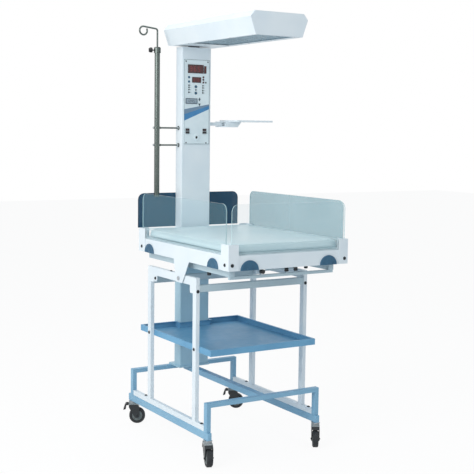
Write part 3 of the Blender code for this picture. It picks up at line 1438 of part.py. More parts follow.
def build_under_frame():
    """The welded frame under the deck: two bearers, two long rails and a bar across their front."""
    half = BED_RAIL_INNER - GAP
    pivot = (0.0, TILT_Y, TILT_HEIGHT)
    frame = block(
        "under_bed_frame",
        (-half, FRONT_BEARER_Y, BED_RAIL_BOTTOM),
        (half, FRONT_BEARER_Y + BEARER_DEPTH, BED_RAIL_TOP),
        GREY_PAINT,
        origin=pivot,
    )
    rear_bearer = block(
        "rear_bearer",
        (-half, REAR_BEARER_Y, BED_RAIL_BOTTOM),
        (half, REAR_BEARER_Y + BEARER_DEPTH, BED_RAIL_TOP),
        GREY_PAINT,
    )
    rail_top = BED_RAIL_BOTTOM + WELD_OVERLAP
    rail_bottom = rail_top - UNDER_RAIL_HEIGHT
    inner = UNDER_RAIL_OUTER - UNDER_RAIL_WIDTH
    for side, sign in (("left", -1), ("right", 1)):
        faces = sorted((sign * UNDER_RAIL_OUTER, sign * inner))
        rail = block(
            "under_rail_" + side,
            (faces[0], UNDER_RAIL_FRONT, rail_bottom),
            (faces[1], UNDER_RAIL_REAR, rail_top),
            GREY_PAINT,
        )
        join(frame, rail)
    join(frame, rear_bearer)
    bar_top = rail_bottom + WELD_OVERLAP
    bar = block(
        "under_bar",
        (-UNDER_RAIL_OUTER + EDGE_ROUND, UNDER_RAIL_FRONT + EDGE_ROUND, bar_top - UNDER_BAR_HEIGHT),
        (UNDER_RAIL_OUTER - EDGE_ROUND, UNDER_RAIL_FRONT + EDGE_ROUND + UNDER_BAR_HEIGHT, bar_top),
        GREY_PAINT,
    )
    join(frame, bar)


def build_corner_brackets():
    """Four corner brackets: an outer angle, and above the rails an inner guide for the clear walls."""
    for end, end_sign in (("front", -1), ("rear", 1)):
        for side, side_sign in (("left", -1), ("right", 1)):
            build_corner_bracket(end + "_" + side, side_sign, end_sign)


def build_corner_bracket(name, side_sign, end_sign):
    corner_y = BED_FRONT if end_sign < 0 else BED_REAR

    def placed(points):
        """Turns distances in from the corner, along X and along Y, into places."""
        return [
            (side_sign * (BED_HALF_WIDTH - across), corner_y - end_sign * along)
            for across, along in points
        ]

    skin = [
        (0.0, 0.0),
        (BRACKET_END_LEG, 0.0),
        (BRACKET_END_LEG, BRACKET_SHEET),
        (BRACKET_SHEET, BRACKET_SHEET),
        (BRACKET_SHEET, BRACKET_SIDE_LEG),
        (0.0, BRACKET_SIDE_LEG),
    ]
    foot_stop = FOOT_PANEL_INSET - PANEL_CLEARANCE
    side_stop = SIDE_PANEL_INSET - PANEL_CLEARANCE
    weld = BRACKET_SHEET / 2
    guide = [
        (weld, weld),
        (foot_stop, weld),
        (foot_stop, GUIDE_OFFSET),
        (BRACKET_END_LEG, GUIDE_OFFSET),
        (BRACKET_END_LEG, GUIDE_INNER),
        (GUIDE_INNER, GUIDE_INNER),
        (GUIDE_INNER, BRACKET_SIDE_LEG),
        (GUIDE_OFFSET, BRACKET_SIDE_LEG),
        (GUIDE_OFFSET, side_stop),
        (weld, side_stop),
    ]
    pivot = (0.0, TILT_Y, TILT_HEIGHT)
    bracket = plate(
        "corner_bracket_" + name, [placed(skin)], BED_RAIL_BOTTOM, BRACKET_TOP, "XY", WHITE_PAINT,
        origin=pivot,
    )
    top = BRACKET_TOP - WELD_OVERLAP
    join(bracket, plate("guide_" + name, [placed(guide)], DECK_BOTTOM, top, "XY", WHITE_PAINT))


def build_tilt_pivots():
    """Two pins: a head outside the bed's hanger, a collar between, and a nut inside the side frame."""
    for side, sign in (("left", -1), ("right", 1)):
        head = BED_RAIL_OUTER + GAP
        gap_outer = BED_RAIL_OUTER - TILT_PLATE_THICKNESS - GAP
        gap_inner = SIDE_HALF_WIDTH + GAP
        nut = SIDE_INNER - GAP
        profile = [
            (0.0, head + TILT_HEAD_THICKNESS),
            (TILT_HEAD_RADIUS, head + TILT_HEAD_THICKNESS),
            (TILT_HEAD_RADIUS, head),
            (TILT_PIN_RADIUS, head),
            (TILT_PIN_RADIUS, gap_outer),
            (TILT_HEAD_RADIUS, gap_outer),
            (TILT_HEAD_RADIUS, gap_inner),
            (TILT_PIN_RADIUS, gap_inner),
            (TILT_PIN_RADIUS, nut),
            (TILT_HEAD_RADIUS, nut),
            (TILT_HEAD_RADIUS, nut - TILT_HEAD_THICKNESS),
            (0.0, nut - TILT_HEAD_THICKNESS),
        ]
        turn = (0.0, sign * math.radians(90), 0.0)
        turned("tilt_pivot_" + side, profile, STEEL, (0.0, TILT_Y, TILT_HEIGHT), turn, steps=PIN_STEPS)


def build_mattress():
    """The mattress: a foam pad in a vinyl cover, crowned on top and drawn in along its sides."""
    half_x = BED_HALF_WIDTH - GUIDE_INNER - MATTRESS_SIDE_CLEARANCE
    front = BED_FRONT + GUIDE_INNER + MATTRESS_SIDE_CLEARANCE
    rear = NOTCH_Y - MATTRESS_REAR_CLEARANCE
    half_y = (rear - front) / 2
    middle_y = (rear + front) / 2
    crown = MATTRESS_CREST - MATTRESS_BOTTOM - MATTRESS_EDGE_HEIGHT
    shape = bmesh.new()
    bmesh.ops.create_cube(shape, size=2)
    bmesh.ops.subdivide_edges(shape, edges=shape.edges[:], cuts=MATTRESS_CUTS, use_grid_fill=True)
    for vertex in shape.verts:
        a, b, c = vertex.co
        x, y = squared_to_rounded(a, b, half_x, half_y)
        level = (c + 1) / 2
        edge = max(abs(a), abs(b))
        lift = MATTRESS_EDGE_ROUND * (1 - math.sqrt(max(0.0, 1 - level * level)))
        pull = lift + MATTRESS_DRAW_IN * level * (1 - min(abs(a), abs(b)) ** 2) * edge ** DRAW_IN_POWER
        pull += MATTRESS_SEAM_DIP * math.sin(math.pi * level) ** 2 * edge ** SIDE_POWER
        x -= math.copysign(min(pull, abs(x)), x) * edge ** SIDE_POWER * (abs(a) >= abs(b))
        y -= math.copysign(min(pull, abs(y)), y) * edge ** SIDE_POWER * (abs(b) >= abs(a))
        dome = crown * (1 - a * a) * (1 - b * b)
        soft = MATTRESS_EDGE_ROUND * MATTRESS_ROUND_SHARE * level * edge ** TOP_EDGE_POWER
        vertex.co = (x, middle_y + y, MATTRESS_BOTTOM + level * (MATTRESS_EDGE_HEIGHT + dome) - soft)
    mesh = mesh_from_bmesh("mattress", shape)
    mattress = add_object("mattress", mesh, VINYL, origin=(0.0, TILT_Y, TILT_HEIGHT))
    shade_round(mattress, math.radians(MATTRESS_SMOOTH_ANGLE))


def squared_to_rounded(a, b, half_x, half_y):
    """Maps the unit square to a rectangle whose corners are rounded in plan."""
    x = a * half_x
    y = b * half_y
    over_x = abs(x) - (half_x - MATTRESS_CORNER)
    over_y = abs(y) - (half_y - MATTRESS_CORNER)
    if over_x > 0 and over_y > 0:
        reach = max(over_x, over_y)
        scale = reach / math.hypot(over_x, over_y)
        x = math.copysign(half_x - MATTRESS_CORNER + over_x * scale, x)
        y = math.copysign(half_y - MATTRESS_CORNER + over_y * scale, y)
    return x, y


def build_clear_walls():
    bottom = BED_RAIL_TOP + GAP
    front = BED_FRONT + SIDE_PANEL_INSET
    rear = BED_REAR - SIDE_PANEL_INSET
    radii = [0.0, 0.0, PANEL_CORNER, PANEL_CORNER]
    side_outline = rounded(rectangle(front, rear, bottom, SIDE_PANEL_TOP), radii)
    for side, sign in (("left", -1), ("right", 1)):
        outer = BED_HALF_WIDTH - PANEL_OFFSET
        faces = sorted((sign * outer, sign * (outer - PANEL_THICKNESS)))
        plate(
            "side_panel_" + side, [side_outline], faces[0], faces[1], "YZ", CLEAR,
            origin=(sign * outer, (front + rear) / 2, bottom),
        )
    half = BED_HALF_WIDTH - FOOT_PANEL_INSET
    foot_outline = rounded(rectangle(-half, half, bottom, SIDE_PANEL_TOP), radii)
    face = BED_FRONT + PANEL_OFFSET
    plate(
        "foot_panel", [foot_outline], face, face + PANEL_THICKNESS, "XZ", CLEAR,
        origin=(0.0, face, bottom),
    )
    back = COLUMN_REAR + GAP
    head_corners = rectangle(
        -HEAD_PANEL_HALF_WIDTH, HEAD_PANEL_HALF_WIDTH, HEAD_PANEL_BOTTOM, HEAD_PANEL_TOP
    )
    head_outline = rounded(head_corners, radii)
    plate("head_panel", [head_outline], back, back + PANEL_THICKNESS, "XZ", TINTED)
    clamp_face = back + PANEL_THICKNESS + GAP
    block(
        "head_panel_clamp",
        (-CLAMP_HALF_WIDTH, clamp_face, CLAMP_BOTTOM),
        (CLAMP_HALF_WIDTH, clamp_face + CLAMP_THICKNESS, CLAMP_TOP),
        WHITE_PAINT,
        edge=EDGE_ROUND / 2,
    )


def centre_on_origin():
    """Moves the whole model so that the origin lies under the middle of its outline seen from above."""
    graph = bpy.context.evaluated_depsgraph_get()
    places = []
    for obj in PARTS.objects:
        if obj.type != "MESH":
            continue
        evaluated = obj.evaluated_get(graph)
        places += [evaluated.matrix_world @ vertex.co for vertex in evaluated.data.vertices]
    low_x = min(place.x for place in places)
    high_x = max(place.x for place in places)
    low_y = min(place.y for place in places)
    high_y = max(place.y for place in places)
    FRAME.location = (-(low_x + high_x) / 2, -(low_y + high_y) / 2, 0.0)


def main():
    build_base()
    build_casters()
    build_side_frames()
    build_crossbars()
    build_tray()
    build_column()
    build_fascia()
    build_controls()
    build_inlet()
    build_swivel_bearing()
    build_canopy()
    build_guard()
    build_reflector()
    build_pole()
    build_pole_holders()
    build_shelf()
    build_bed_rails()
    build_deck()
    build_under_frame()
    build_corner_brackets()
    build_tilt_pivots()
    build_mattress()
    build_clear_walls()
    centre_on_origin()


main()
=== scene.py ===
"""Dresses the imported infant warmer: finishes, mattress, fittings, fasteners, floor, lamps and camera."""

import math

import bmesh
import bpy
from mathutils import Matrix, Vector


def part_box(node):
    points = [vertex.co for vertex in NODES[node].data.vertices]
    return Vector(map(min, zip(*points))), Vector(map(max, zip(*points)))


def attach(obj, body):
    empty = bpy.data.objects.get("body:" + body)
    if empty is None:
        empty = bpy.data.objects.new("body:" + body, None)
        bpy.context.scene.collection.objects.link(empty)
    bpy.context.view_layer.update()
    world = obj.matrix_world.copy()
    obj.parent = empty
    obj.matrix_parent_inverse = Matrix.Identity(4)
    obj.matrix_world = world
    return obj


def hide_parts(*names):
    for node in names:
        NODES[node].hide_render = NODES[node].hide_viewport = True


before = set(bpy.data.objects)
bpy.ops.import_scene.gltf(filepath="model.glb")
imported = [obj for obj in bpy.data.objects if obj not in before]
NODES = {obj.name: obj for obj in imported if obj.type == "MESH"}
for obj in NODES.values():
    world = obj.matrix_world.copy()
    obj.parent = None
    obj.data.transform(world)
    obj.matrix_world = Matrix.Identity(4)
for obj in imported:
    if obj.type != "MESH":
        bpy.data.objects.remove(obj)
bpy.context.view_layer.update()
bpy.context.scene.view_settings.view_transform = "Standard"

MM = 0.001
SINK = 0.2 * MM

# Places below are measured from the column's middle across the warmer and the base's middle along it
COLUMN_LOW, COLUMN_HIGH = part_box("column")
MIDDLE_X = (COLUMN_LOW.x + COLUMN_HIGH.x) / 2
BRIDGE_LOW, BRIDGE_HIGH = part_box("base_bridge")
MIDDLE_Y = (BRIDGE_LOW.y + BRIDGE_HIGH.y) / 2
FACE_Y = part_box("control_fascia")[0].y

UP = (0.0, 0.0, 1.0)
DOWN = (0.0, 0.0, -1.0)
AWAY = (0.0, 1.0, 0.0)
TOWARDS = (0.0, -1.0, 0.0)
ORIGIN = (0.0, 0.0, 0.0)
SIDES = (("left", -1), ("right", 1))
AXIS_TURNS = {"X": (0.0, math.radians(90), 0.0), "Y": (math.radians(90), 0.0, 0.0), "Z": ORIGIN}


def at(x, y, z):
    """A place measured from the middle of the column and of the base, as world coordinates."""
    return Vector((MIDDLE_X + x, MIDDLE_Y + y, z))


def on_fascia(x, z, proud=0.0):
    """A place on the control fascia's face, or proud of it."""
    return Vector((MIDDLE_X + x, FACE_Y - proud, z))


# Camera and stage

CAMERA_YAW = math.radians(31.6114)
CAMERA_PITCH = math.radians(5.9646)
CAMERA_ROLL = math.radians(-0.7461)
CAMERA_PLACE = (-2.3588, -3.9517, 1.4002)
CAMERA_LENS = 77.212
CAMERA_SENSOR = 36.0
FLOOR_SIZE = 30.0
FLOOR_COLOUR = (0.94, 0.94, 0.94, 1.0)
FLOOR_WHITENING = 0.93
SURROUND_COLOUR = (0.84, 0.93, 1.0, 1.0)
SURROUND_STRENGTH = 0.50
LAMP_AIM = Vector((0.0, 0.0, 0.9))
# Each lamp's name, place, width, power and colour
LAMPS = (
    ("key_left", (-3.6, -1.2, 2.6), 2.4, 98.0, (1.0, 0.99, 0.98)),
    ("fill_front", (1.2, -4.2, 2.4), 2.5, 14.0, (0.88, 0.95, 1.0)),
    ("top", (0.0, 0.4, 4.2), 3.0, 40.0, (1.0, 1.0, 1.0)),
)


def place_camera():
    """The photograph's view: a long lens from the left of the foot end, a little above the mattress."""
    level = Vector((math.cos(CAMERA_YAW), -math.sin(CAMERA_YAW), 0.0))
    ahead = Vector((math.sin(CAMERA_YAW), math.cos(CAMERA_YAW), 0.0)) * math.cos(CAMERA_PITCH)
    forward = ahead - Vector(UP) * math.sin(CAMERA_PITCH)
    above = level.cross(forward)
    right = math.cos(CAMERA_ROLL) * level - math.sin(CAMERA_ROLL) * above
    up = math.sin(CAMERA_ROLL) * level + math.cos(CAMERA_ROLL) * above
    bpy.ops.object.camera_add()
    camera = bpy.context.object
    camera.name = "photo_camera"
    camera.data.sensor_width = CAMERA_SENSOR
    camera.data.lens = CAMERA_LENS
    camera.location = at(*CAMERA_PLACE)
    camera.rotation_euler = Matrix((right, up, -forward)).transposed().to_euler()
    bpy.context.scene.camera = camera


def add_node(tree, kind, sockets=(), **settings):
    """A shader node with its settings and the values of its sockets."""
    node = tree.nodes.new(kind)
    for name, value in settings.items():
        setattr(node, name, value)
    for socket, value in dict(sockets).items():
        node.inputs[socket].default_value = value
    return node


def seen_directly(tree):
    """A value of one where a ray comes from the camera, a mirror or a pane."""
    path = add_node(tree, "ShaderNodeLightPath")
    seen = path.outputs["Is Camera Ray"]
    for kind in ("Is Glossy Ray", "Is Transmission Ray"):
        either = add_node(tree, "ShaderNodeMath", operation="MAXIMUM")
        tree.links.new(seen, either.inputs[0])
        tree.links.new(path.outputs[kind], either.inputs[1])
        seen = either.outputs[0]
    return seen


def mix_shaders(tree, share, first, second, output):
    mix = tree.nodes.new("ShaderNodeMixShader")
    tree.links.new(share, mix.inputs[0])
    tree.links.new(first.outputs[0], mix.inputs[1])
    tree.links.new(second.outputs[0], mix.inputs[2])
    tree.links.new(mix.outputs[0], tree.nodes[output].inputs["Surface"])


def build_stage():
    """A pale floor, a white surround, and soft lamps with the main one on the left."""
    bpy.ops.mesh.primitive_plane_add(size=FLOOR_SIZE)
    floor = bpy.context.object
    floor.name = "studio_floor"
    material, tree, shader = blank_finish("floor_paper")
    shader.inputs["Base Color"].default_value = FLOOR_COLOUR
    shader.inputs["Roughness"].default_value = 0.9
    shader.inputs["Specular IOR Level"].default_value = 0.1
    whiten = add_node(tree, "ShaderNodeMath", {1: FLOOR_WHITENING}, operation="MULTIPLY")
    tree.links.new(seen_directly(tree), whiten.inputs[0])
    mix_shaders(tree, whiten.outputs[0], shader, add_node(tree, "ShaderNodeEmission"), "Material Output")
    floor.data.materials.append(material)
    world = bpy.data.worlds.new("studio_surround")
    bpy.context.scene.world = world
    world.use_nodes = True
    tree = world.node_tree
    soft = tree.nodes["Background"]
    soft.inputs["Color"].default_value = SURROUND_COLOUR
    soft.inputs["Strength"].default_value = SURROUND_STRENGTH
    white = add_node(tree, "ShaderNodeBackground", {"Color": (1.0, 1.0, 1.0, 1.0), "Strength": 1.0})
    mix_shaders(tree, seen_directly(tree), soft, white, "World Output")
    for name, place, width, power, colour in LAMPS:
        bpy.ops.object.light_add(type="AREA", location=place)
        lamp = bpy.context.object
        lamp.name = name
        lamp.data.shape = "SQUARE"
        lamp.data.size = width
        lamp.data.energy = power
        lamp.data.color = colour
        lamp.rotation_euler = (LAMP_AIM - Vector(place)).to_track_quat("-Z", "Y").to_euler()


# Finishes

DRIFT_RANGE = (0.35, 0.65)
GRAIN_RANGE = (0.3, 0.7)


def tint(red, green, blue):
    """A colour as a swatch reads it, from 0 to 255, turned into shader values."""
    parts = []
    for level in (red, green, blue):
        share = level / 255
        parts.append(share / 12.92 if share <= 0.04045 else ((share + 0.055) / 1.055) ** 2.4)
    return (*parts, 1.0)


def blank_finish(name):
    material = bpy.data.materials.new(name)
    material.use_nodes = True
    return material, material.node_tree, material.node_tree.nodes["Principled BSDF"]


def place_noise(tree, scale, detail=2.0, stretch=None):
    """A noise on the object's own coordinates, stretched where the finish is drawn out."""
    noise = add_node(tree, "ShaderNodeTexNoise", {"Scale": scale, "Detail": detail})
    source = add_node(tree, "ShaderNodeTexCoord").outputs["Object"]
    if stretch:
        mapping = add_node(tree, "ShaderNodeMapping", {"Scale": stretch})
        tree.links.new(source, mapping.inputs["Vector"])
        source = mapping.outputs["Vector"]
    tree.links.new(source, noise.inputs["Vector"])
    return noise.outputs["Fac"]


def spread(tree, source, span, low, high):
    """Maps the middle range of a pattern onto a range of values."""
    sockets = {"From Min": span[0], "From Max": span[1], "To Min": low, "To Max": high}
    node = add_node(tree, "ShaderNodeMapRange", sockets)
    tree.links.new(source, node.inputs["Value"])
    return node.outputs["Result"]


def two_tone(tree, source, first, second):
    mix = add_node(tree, "ShaderNodeMix", {"A": first, "B": second}, data_type="RGBA")
    tree.links.new(source, mix.inputs["Factor"])
    return mix.outputs["Result"]


def drifting(tree, scale, detail, colour, shade, span=DRIFT_RANGE):
    """A colour that drifts to a nearby shade in soft clouds."""
    cloud = spread(tree, place_noise(tree, scale, detail), span, 0.0, 1.0)
    return two_tone(tree, cloud, colour, shade)


def vary_gloss(tree, shader, pattern, low, high, span=GRAIN_RANGE):
    tree.links.new(spread(tree, pattern, span, low, high), shader.inputs["Roughness"])


def add_relief(tree, shader, source, height, strength):
    bump = add_node(tree, "ShaderNodeBump", {"Strength": strength, "Distance": height})
    tree.links.new(source, bump.inputs["Height"])
    tree.links.new(bump.outputs["Normal"], shader.inputs["Normal"])
    return bump


def coordinates(tree, kind):
    """The three parts of the object's own coordinates or of its surface's direction."""
    parts = tree.nodes.new("ShaderNodeSeparateXYZ")
    tree.links.new(add_node(tree, "ShaderNodeTexCoord").outputs[kind], parts.inputs["Vector"])
    return parts.outputs


def powder_coat(name, colour, shade, gloss):
    """Stoved powder paint: an even colour that drifts a little, over a fine pebbled skin."""
    material, tree, shader = blank_finish(name)
    tree.links.new(drifting(tree, 7.0, 2.0, colour, shade), shader.inputs["Base Color"])
    vary_gloss(tree, shader, place_noise(tree, 38.0, 4.0), gloss - 0.05, gloss + 0.07)
    add_relief(tree, shader, place_noise(tree, 900.0, 1.0), 0.02 * MM, 0.06)
    return material


def two_height_coat(name, height, upper, lower, gloss):
    """Two colours that meet along a level line: real two-tone paint on the casters' forks, and painted
    shade below the cot on the column.
    """
    material = powder_coat(name, *upper, gloss)
    tree = material.node_tree
    shader = tree.nodes["Principled BSDF"]
    upper_colour = shader.inputs["Base Color"].links[0].from_socket
    line = (height - 0.5 * MM, height + 0.5 * MM)
    above = spread(tree, coordinates(tree, "Object")["Z"], line, 0.0, 1.0)
    mix = add_node(tree, "ShaderNodeMix", data_type="RGBA")
    tree.links.new(above, mix.inputs["Factor"])
    tree.links.new(drifting(tree, 7.0, 2.0, *lower), mix.inputs["A"])
    tree.links.new(upper_colour, mix.inputs["B"])
    tree.links.new(mix.outputs["Result"], shader.inputs["Base Color"])
    return material


def moulded(name, colour, shade, gloss, grain=1400.0, height=0.05 * MM):
    """Moulded plastic or rubber with a fine even texture."""
    material, tree, shader = blank_finish(name)
    tree.links.new(drifting(tree, 22.0, 3.0, colour, shade), shader.inputs["Base Color"])
    vary_gloss(tree, shader, place_noise(tree, 90.0, 3.0), gloss - 0.06, gloss + 0.08)
    add_relief(tree, shader, place_noise(tree, grain, 2.0), height, 0.4)
    return material


def bright_metal(name, colour, gloss, stretch=(1.0, 1.0, 1.0)):
    """Plated or polished metal with faint draw lines and a slightly uneven sheen."""
    material, tree, shader = blank_finish(name)
    shader.inputs["Metallic"].default_value = 1.0
    darker = tuple(part * 0.90 for part in colour[:3]) + (1.0,)
    cloud = drifting(tree, 30.0, 3.0, colour, darker, GRAIN_RANGE)
    tree.links.new(cloud, shader.inputs["Base Color"])
    lines = place_noise(tree, 260.0, 3.0, stretch)
    vary_gloss(tree, shader, lines, gloss, gloss + 0.08)
    add_relief(tree, shader, lines, 0.01 * MM, 0.02)
    return material


def clear_wall(name, colour, edge_colour, body_alpha, edge_alpha, thin_axis, gloss_level=0.5):
    """Clear acrylic sheet: faintly tinted through its faces, and denser along its cut edges."""
    material, tree, shader = blank_finish(name)
    shader.inputs["Specular IOR Level"].default_value = gloss_level
    shader.inputs["IOR"].default_value = 1.49
    size = add_node(tree, "ShaderNodeMath", operation="ABSOLUTE")
    tree.links.new(coordinates(tree, "Normal")[thin_axis], size.inputs[0])
    edge = spread(tree, size.outputs[0], (0.55, 0.75), 1.0, 0.0)
    tree.links.new(two_tone(tree, edge, colour, edge_colour), shader.inputs["Base Color"])
    alpha = spread(tree, edge, (0.0, 1.0), body_alpha, edge_alpha)
    tree.links.new(alpha, shader.inputs["Alpha"])
    vary_gloss(tree, shader, place_noise(tree, 9.0, 4.0), 0.02, 0.09, (0.35, 0.7))
    return material


def glowing(name, colour, strength):
    """A dimly lit bar, a touch uneven."""
    material, tree, shader = blank_finish(name)
    for socket in ("Base Color", "Emission Color"):
        shader.inputs[socket].default_value = colour
    shader.inputs["Roughness"].default_value = 0.35
    cloud = spread(tree, place_noise(tree, 400.0, 1.0), GRAIN_RANGE, strength * 0.85, strength)
    tree.links.new(cloud, shader.inputs["Emission Strength"])
    return material


def cover_vinyl(name):
    """The mattress cover: pale vinyl with a fine leather grain, soft creases and a low sheen."""
    material, tree, shader = blank_finish(name)
    colours = drifting(tree, 5.0, 3.0, tint(214, 231, 234), tint(202, 223, 228))
    tree.links.new(colours, shader.inputs["Base Color"])
    grain = add_node(tree, "ShaderNodeTexVoronoi", {"Scale": 620.0})
    tree.links.new(add_node(tree, "ShaderNodeTexCoord").outputs["Object"], grain.inputs["Vector"])
    fine = add_relief(tree, shader, grain.outputs["Distance"], 0.08 * MM, 0.35)
    crease = add_node(tree, "ShaderNodeBump", {"Strength": 0.35, "Distance": 1.2 * MM})
    tree.links.new(place_noise(tree, 16.0, 3.0, (1.0, 0.6, 1.0)), crease.inputs["Height"])
    tree.links.new(crease.outputs["Normal"], fine.inputs["Normal"])
    vary_gloss(tree, shader, place_noise(tree, 30.0, 3.0), 0.30, 0.42)
    shader.inputs["Sheen Weight"].default_value = 0.08
    return material


# The grain and depth of glass, ink and print, which are finer than a moulding's
FINE = (2000.0, 0.01 * MM)
WHITE_TONES = (tint(228, 236, 240), tint(221, 231, 237))
# The column's lower tones are painted shade: its white paint turned pale blue-grey for the bluish shade it
# stands in below the cot
COLUMN_PAINTED_SHADE_TONES = (tint(178, 211, 225), tint(170, 204, 219))
FORK_UPPER_TONES = (tint(150, 156, 158), tint(132, 140, 142))
FORK_LOWER_TONES = (tint(30, 38, 42), tint(24, 30, 34))
# Below this height the column's coat carries that painted shade
COLUMN_SHADE_LINE_HEIGHT = 0.862
FORK_JOIN_HEIGHT = 0.0925

WHITE_COAT = powder_coat("white_powder_coat", *WHITE_TONES, 0.34)
BLUE_COAT = powder_coat("base_blue_coat", tint(136, 181, 207), tint(126, 172, 200), 0.46)
TRAY_COAT = powder_coat("tray_blue_coat", tint(108, 165, 200), tint(97, 155, 192), 0.46)
# A shaded copy of the white coat: painted shade, a greyer blue-white for the crossbar and the parts under
# the cot
UNDER_COT_PAINTED_SHADE_COAT = powder_coat("under_frame_painted_shade_coat", tint(186, 205, 212), tint(177, 197, 206), 0.38)
GUARD_WIRE = powder_coat("heater_guard_coat", tint(176, 198, 210), tint(166, 190, 203), 0.34)
# The column's coat: white above, and painted shade below the cot
COLUMN_COAT = two_height_coat("column_coat_painted_shade", COLUMN_SHADE_LINE_HEIGHT, WHITE_TONES, COLUMN_PAINTED_SHADE_TONES, 0.40)
FORK_COAT = two_height_coat(
    "caster_fork_coat", FORK_JOIN_HEIGHT, FORK_UPPER_TONES, FORK_LOWER_TONES, 0.34
)
NAVY_PLASTIC = moulded("navy_bumper_plastic", tint(40, 94, 124), tint(34, 84, 114), 0.42)
BLACK_PLASTIC = moulded("black_moulding", tint(30, 33, 37), tint(24, 26, 30), 0.42)
PALE_PLASTIC = moulded("fascia_plastic", tint(224, 236, 240), tint(216, 230, 235), 0.40)
HUB_PLASTIC = moulded("hub_plastic", tint(112, 120, 120), tint(98, 106, 106), 0.42)
LAMP_PLASTIC = moulded("unlit_lamp_plastic", tint(20, 34, 46), tint(16, 29, 40), 0.70)
RED_LAMP_PLASTIC = moulded("unlit_red_lamp_plastic", tint(66, 16, 30), tint(56, 12, 24), 0.62)
DEEP_RED = moulded("deep_red_frame_plastic", tint(60, 14, 26), tint(50, 10, 20), 0.34)
SLATE_PLASTIC = moulded("slate_key_plastic", tint(50, 72, 88), tint(42, 64, 80), 0.40)
TYRE = moulded("dark_tyre", tint(34, 38, 42), tint(27, 31, 35), 0.66, 700.0, 0.10 * MM)
CERAMIC = moulded("heater_ceramic", tint(188, 160, 138), tint(168, 138, 116), 0.62, 500.0, 0.12 * MM)
RED_GLASS = moulded("red_display_glass", tint(70, 8, 14), tint(58, 6, 12), 0.12, *FINE)
GREY_GLASS = moulded("grey_display_glass", tint(150, 166, 178), tint(140, 157, 170), 0.16, *FINE)
LCD_INK = moulded("display_ink", tint(52, 66, 76), tint(44, 58, 68), 0.30, *FINE)
EDGE_INK = moulded("fascia_edge_ink", tint(118, 136, 140), tint(106, 124, 128), 0.45, *FINE)
WEDGE_BLUE = moulded("wedge_blue_print", tint(66, 134, 184), tint(56, 124, 176), 0.38, *FINE)
WEDGE_GREY = moulded("wedge_grey_print", tint(118, 144, 166), tint(108, 134, 158), 0.38, *FINE)
CHROME = bright_metal("chrome_plate", tint(96, 105, 102), 0.20, (1.0, 1.0, 0.05))
ZINC = bright_metal("zinc_plate", tint(186, 190, 194), 0.24, (1.0, 1.0, 0.3))
MIRROR_SHEET = bright_metal("reflector_sheet", tint(214, 228, 236), 0.30, (1.0, 0.04, 1.0))
DARK_STEEL = bright_metal("dark_bolt_steel", tint(58, 62, 66), 0.34)
HEATER_WIRE = bright_metal("heater_wire", tint(150, 138, 128), 0.34)
SIDE_CLEAR = clear_wall(
    "side_wall_acrylic", tint(150, 196, 208), tint(176, 208, 212), 0.08, 0.75, "X", 0.3
)
# The right wall is the same acrylic as the left, made denser and darker here: painted reflection, for the
# tint it shows at a grazing view against the white surround
RIGHT_WALL_PAINTED_REFLECTION = clear_wall(
    "right_wall_acrylic_painted_reflection", tint(136, 182, 192), tint(206, 228, 230), 0.48, 0.85, "X"
)
END_CLEAR = clear_wall(
    "foot_wall_acrylic", tint(176, 210, 218), tint(176, 208, 212), 0.09, 0.70, "Y"
)
HEAD_TINT = clear_wall(
    "head_wall_acrylic", tint(30, 76, 104), tint(18, 38, 60), 0.90, 0.97, "Y", 0.3
)
RED_GLOW = glowing("red_segment_glow", tint(128, 22, 28), 0.16)
DIM_RED = glowing("dim_power_bar", tint(84, 14, 20), 0.05)
VINYL = cover_vinyl("mattress_cover_vinyl")

# The finish of each carried-over solid, by the longest start of its name that is listed
NODE_FINISHES = {
    "base_": BLUE_COAT,
    "storage_tray": TRAY_COAT,
    "side_frame": WHITE_COAT,
    "crossbar": UNDER_COT_PAINTED_SHADE_COAT,
    "column": COLUMN_COAT,
    "control_fascia": PALE_PLASTIC,
    "temperature_display": RED_GLASS,
    "timer_display": GREY_GLASS,
    "probe_socket": PALE_PLASTIC,
    "power_inlet": BLACK_PLASTIC,
    "swivel_bearing": BLACK_PLASTIC,
    "setting_key": NAVY_PLASTIC,
    "rocker_switch": BLACK_PLASTIC,
    "canopy_shell": WHITE_COAT,
    "heater_guard": GUARD_WIRE,
    "heater_reflector": MIRROR_SHEET,
    "heating_element": CERAMIC,
    "pole_knob": BLACK_PLASTIC,
    "pole_": CHROME,
    "hook_rod": CHROME,
    "shelf_bracket": WHITE_COAT,
    "instrument_shelf": WHITE_COAT,
    "bed_": WHITE_COAT,
    "mattress_deck": WHITE_COAT,
    "under_bed_frame": UNDER_COT_PAINTED_SHADE_COAT,
    "corner_bracket": WHITE_COAT,
    "tilt_pivot": ZINC,
    "side_panel": SIDE_CLEAR,
    "side_panel_right": RIGHT_WALL_PAINTED_REFLECTION,
    "foot_panel": END_CLEAR,
    "head_panel_clamp": WHITE_COAT,
    "head_panel": HEAD_TINT,
    "caster_fork": FORK_COAT,
    "caster_wheel": TYRE,
    "brake_pedal": BLACK_PLASTIC,
    "mattress": VINYL,
}


def dress_nodes():
    for name, node in NODES.items():
        match = max((start for start in NODE_FINISHES if name.startswith(start)), key=len)
        node.data.materials.clear()
        node.data.materials.append(NODE_FINISHES[match])


# Shaping


def bring_forward(piece):
    bpy.ops.object.select_all(action="DESELECT")
    piece.select_set(True)
    bpy.context.view_layer.objects.active = piece


def settle(name):
    """Names a new primitive and puts its place, turn and size in its mesh."""
    piece = bpy.context.object
    piece.name = name
    piece.data.name = name
    bpy.ops.object.transform_apply(location=True, rotation=True, scale=True)
    return piece


def block(name, low, high):
    low, high = Vector(low), Vector(high)
    bpy.ops.object.select_all(action="DESELECT")
    bpy.ops.mesh.primitive_cube_add(size=1.0, location=(low + high) / 2, scale=high - low)
    return settle(name)


def small_block(name, low, high):
    """A block between two corners given in millimetres."""
    return block(name, Vector(low) * MM, Vector(high) * MM)


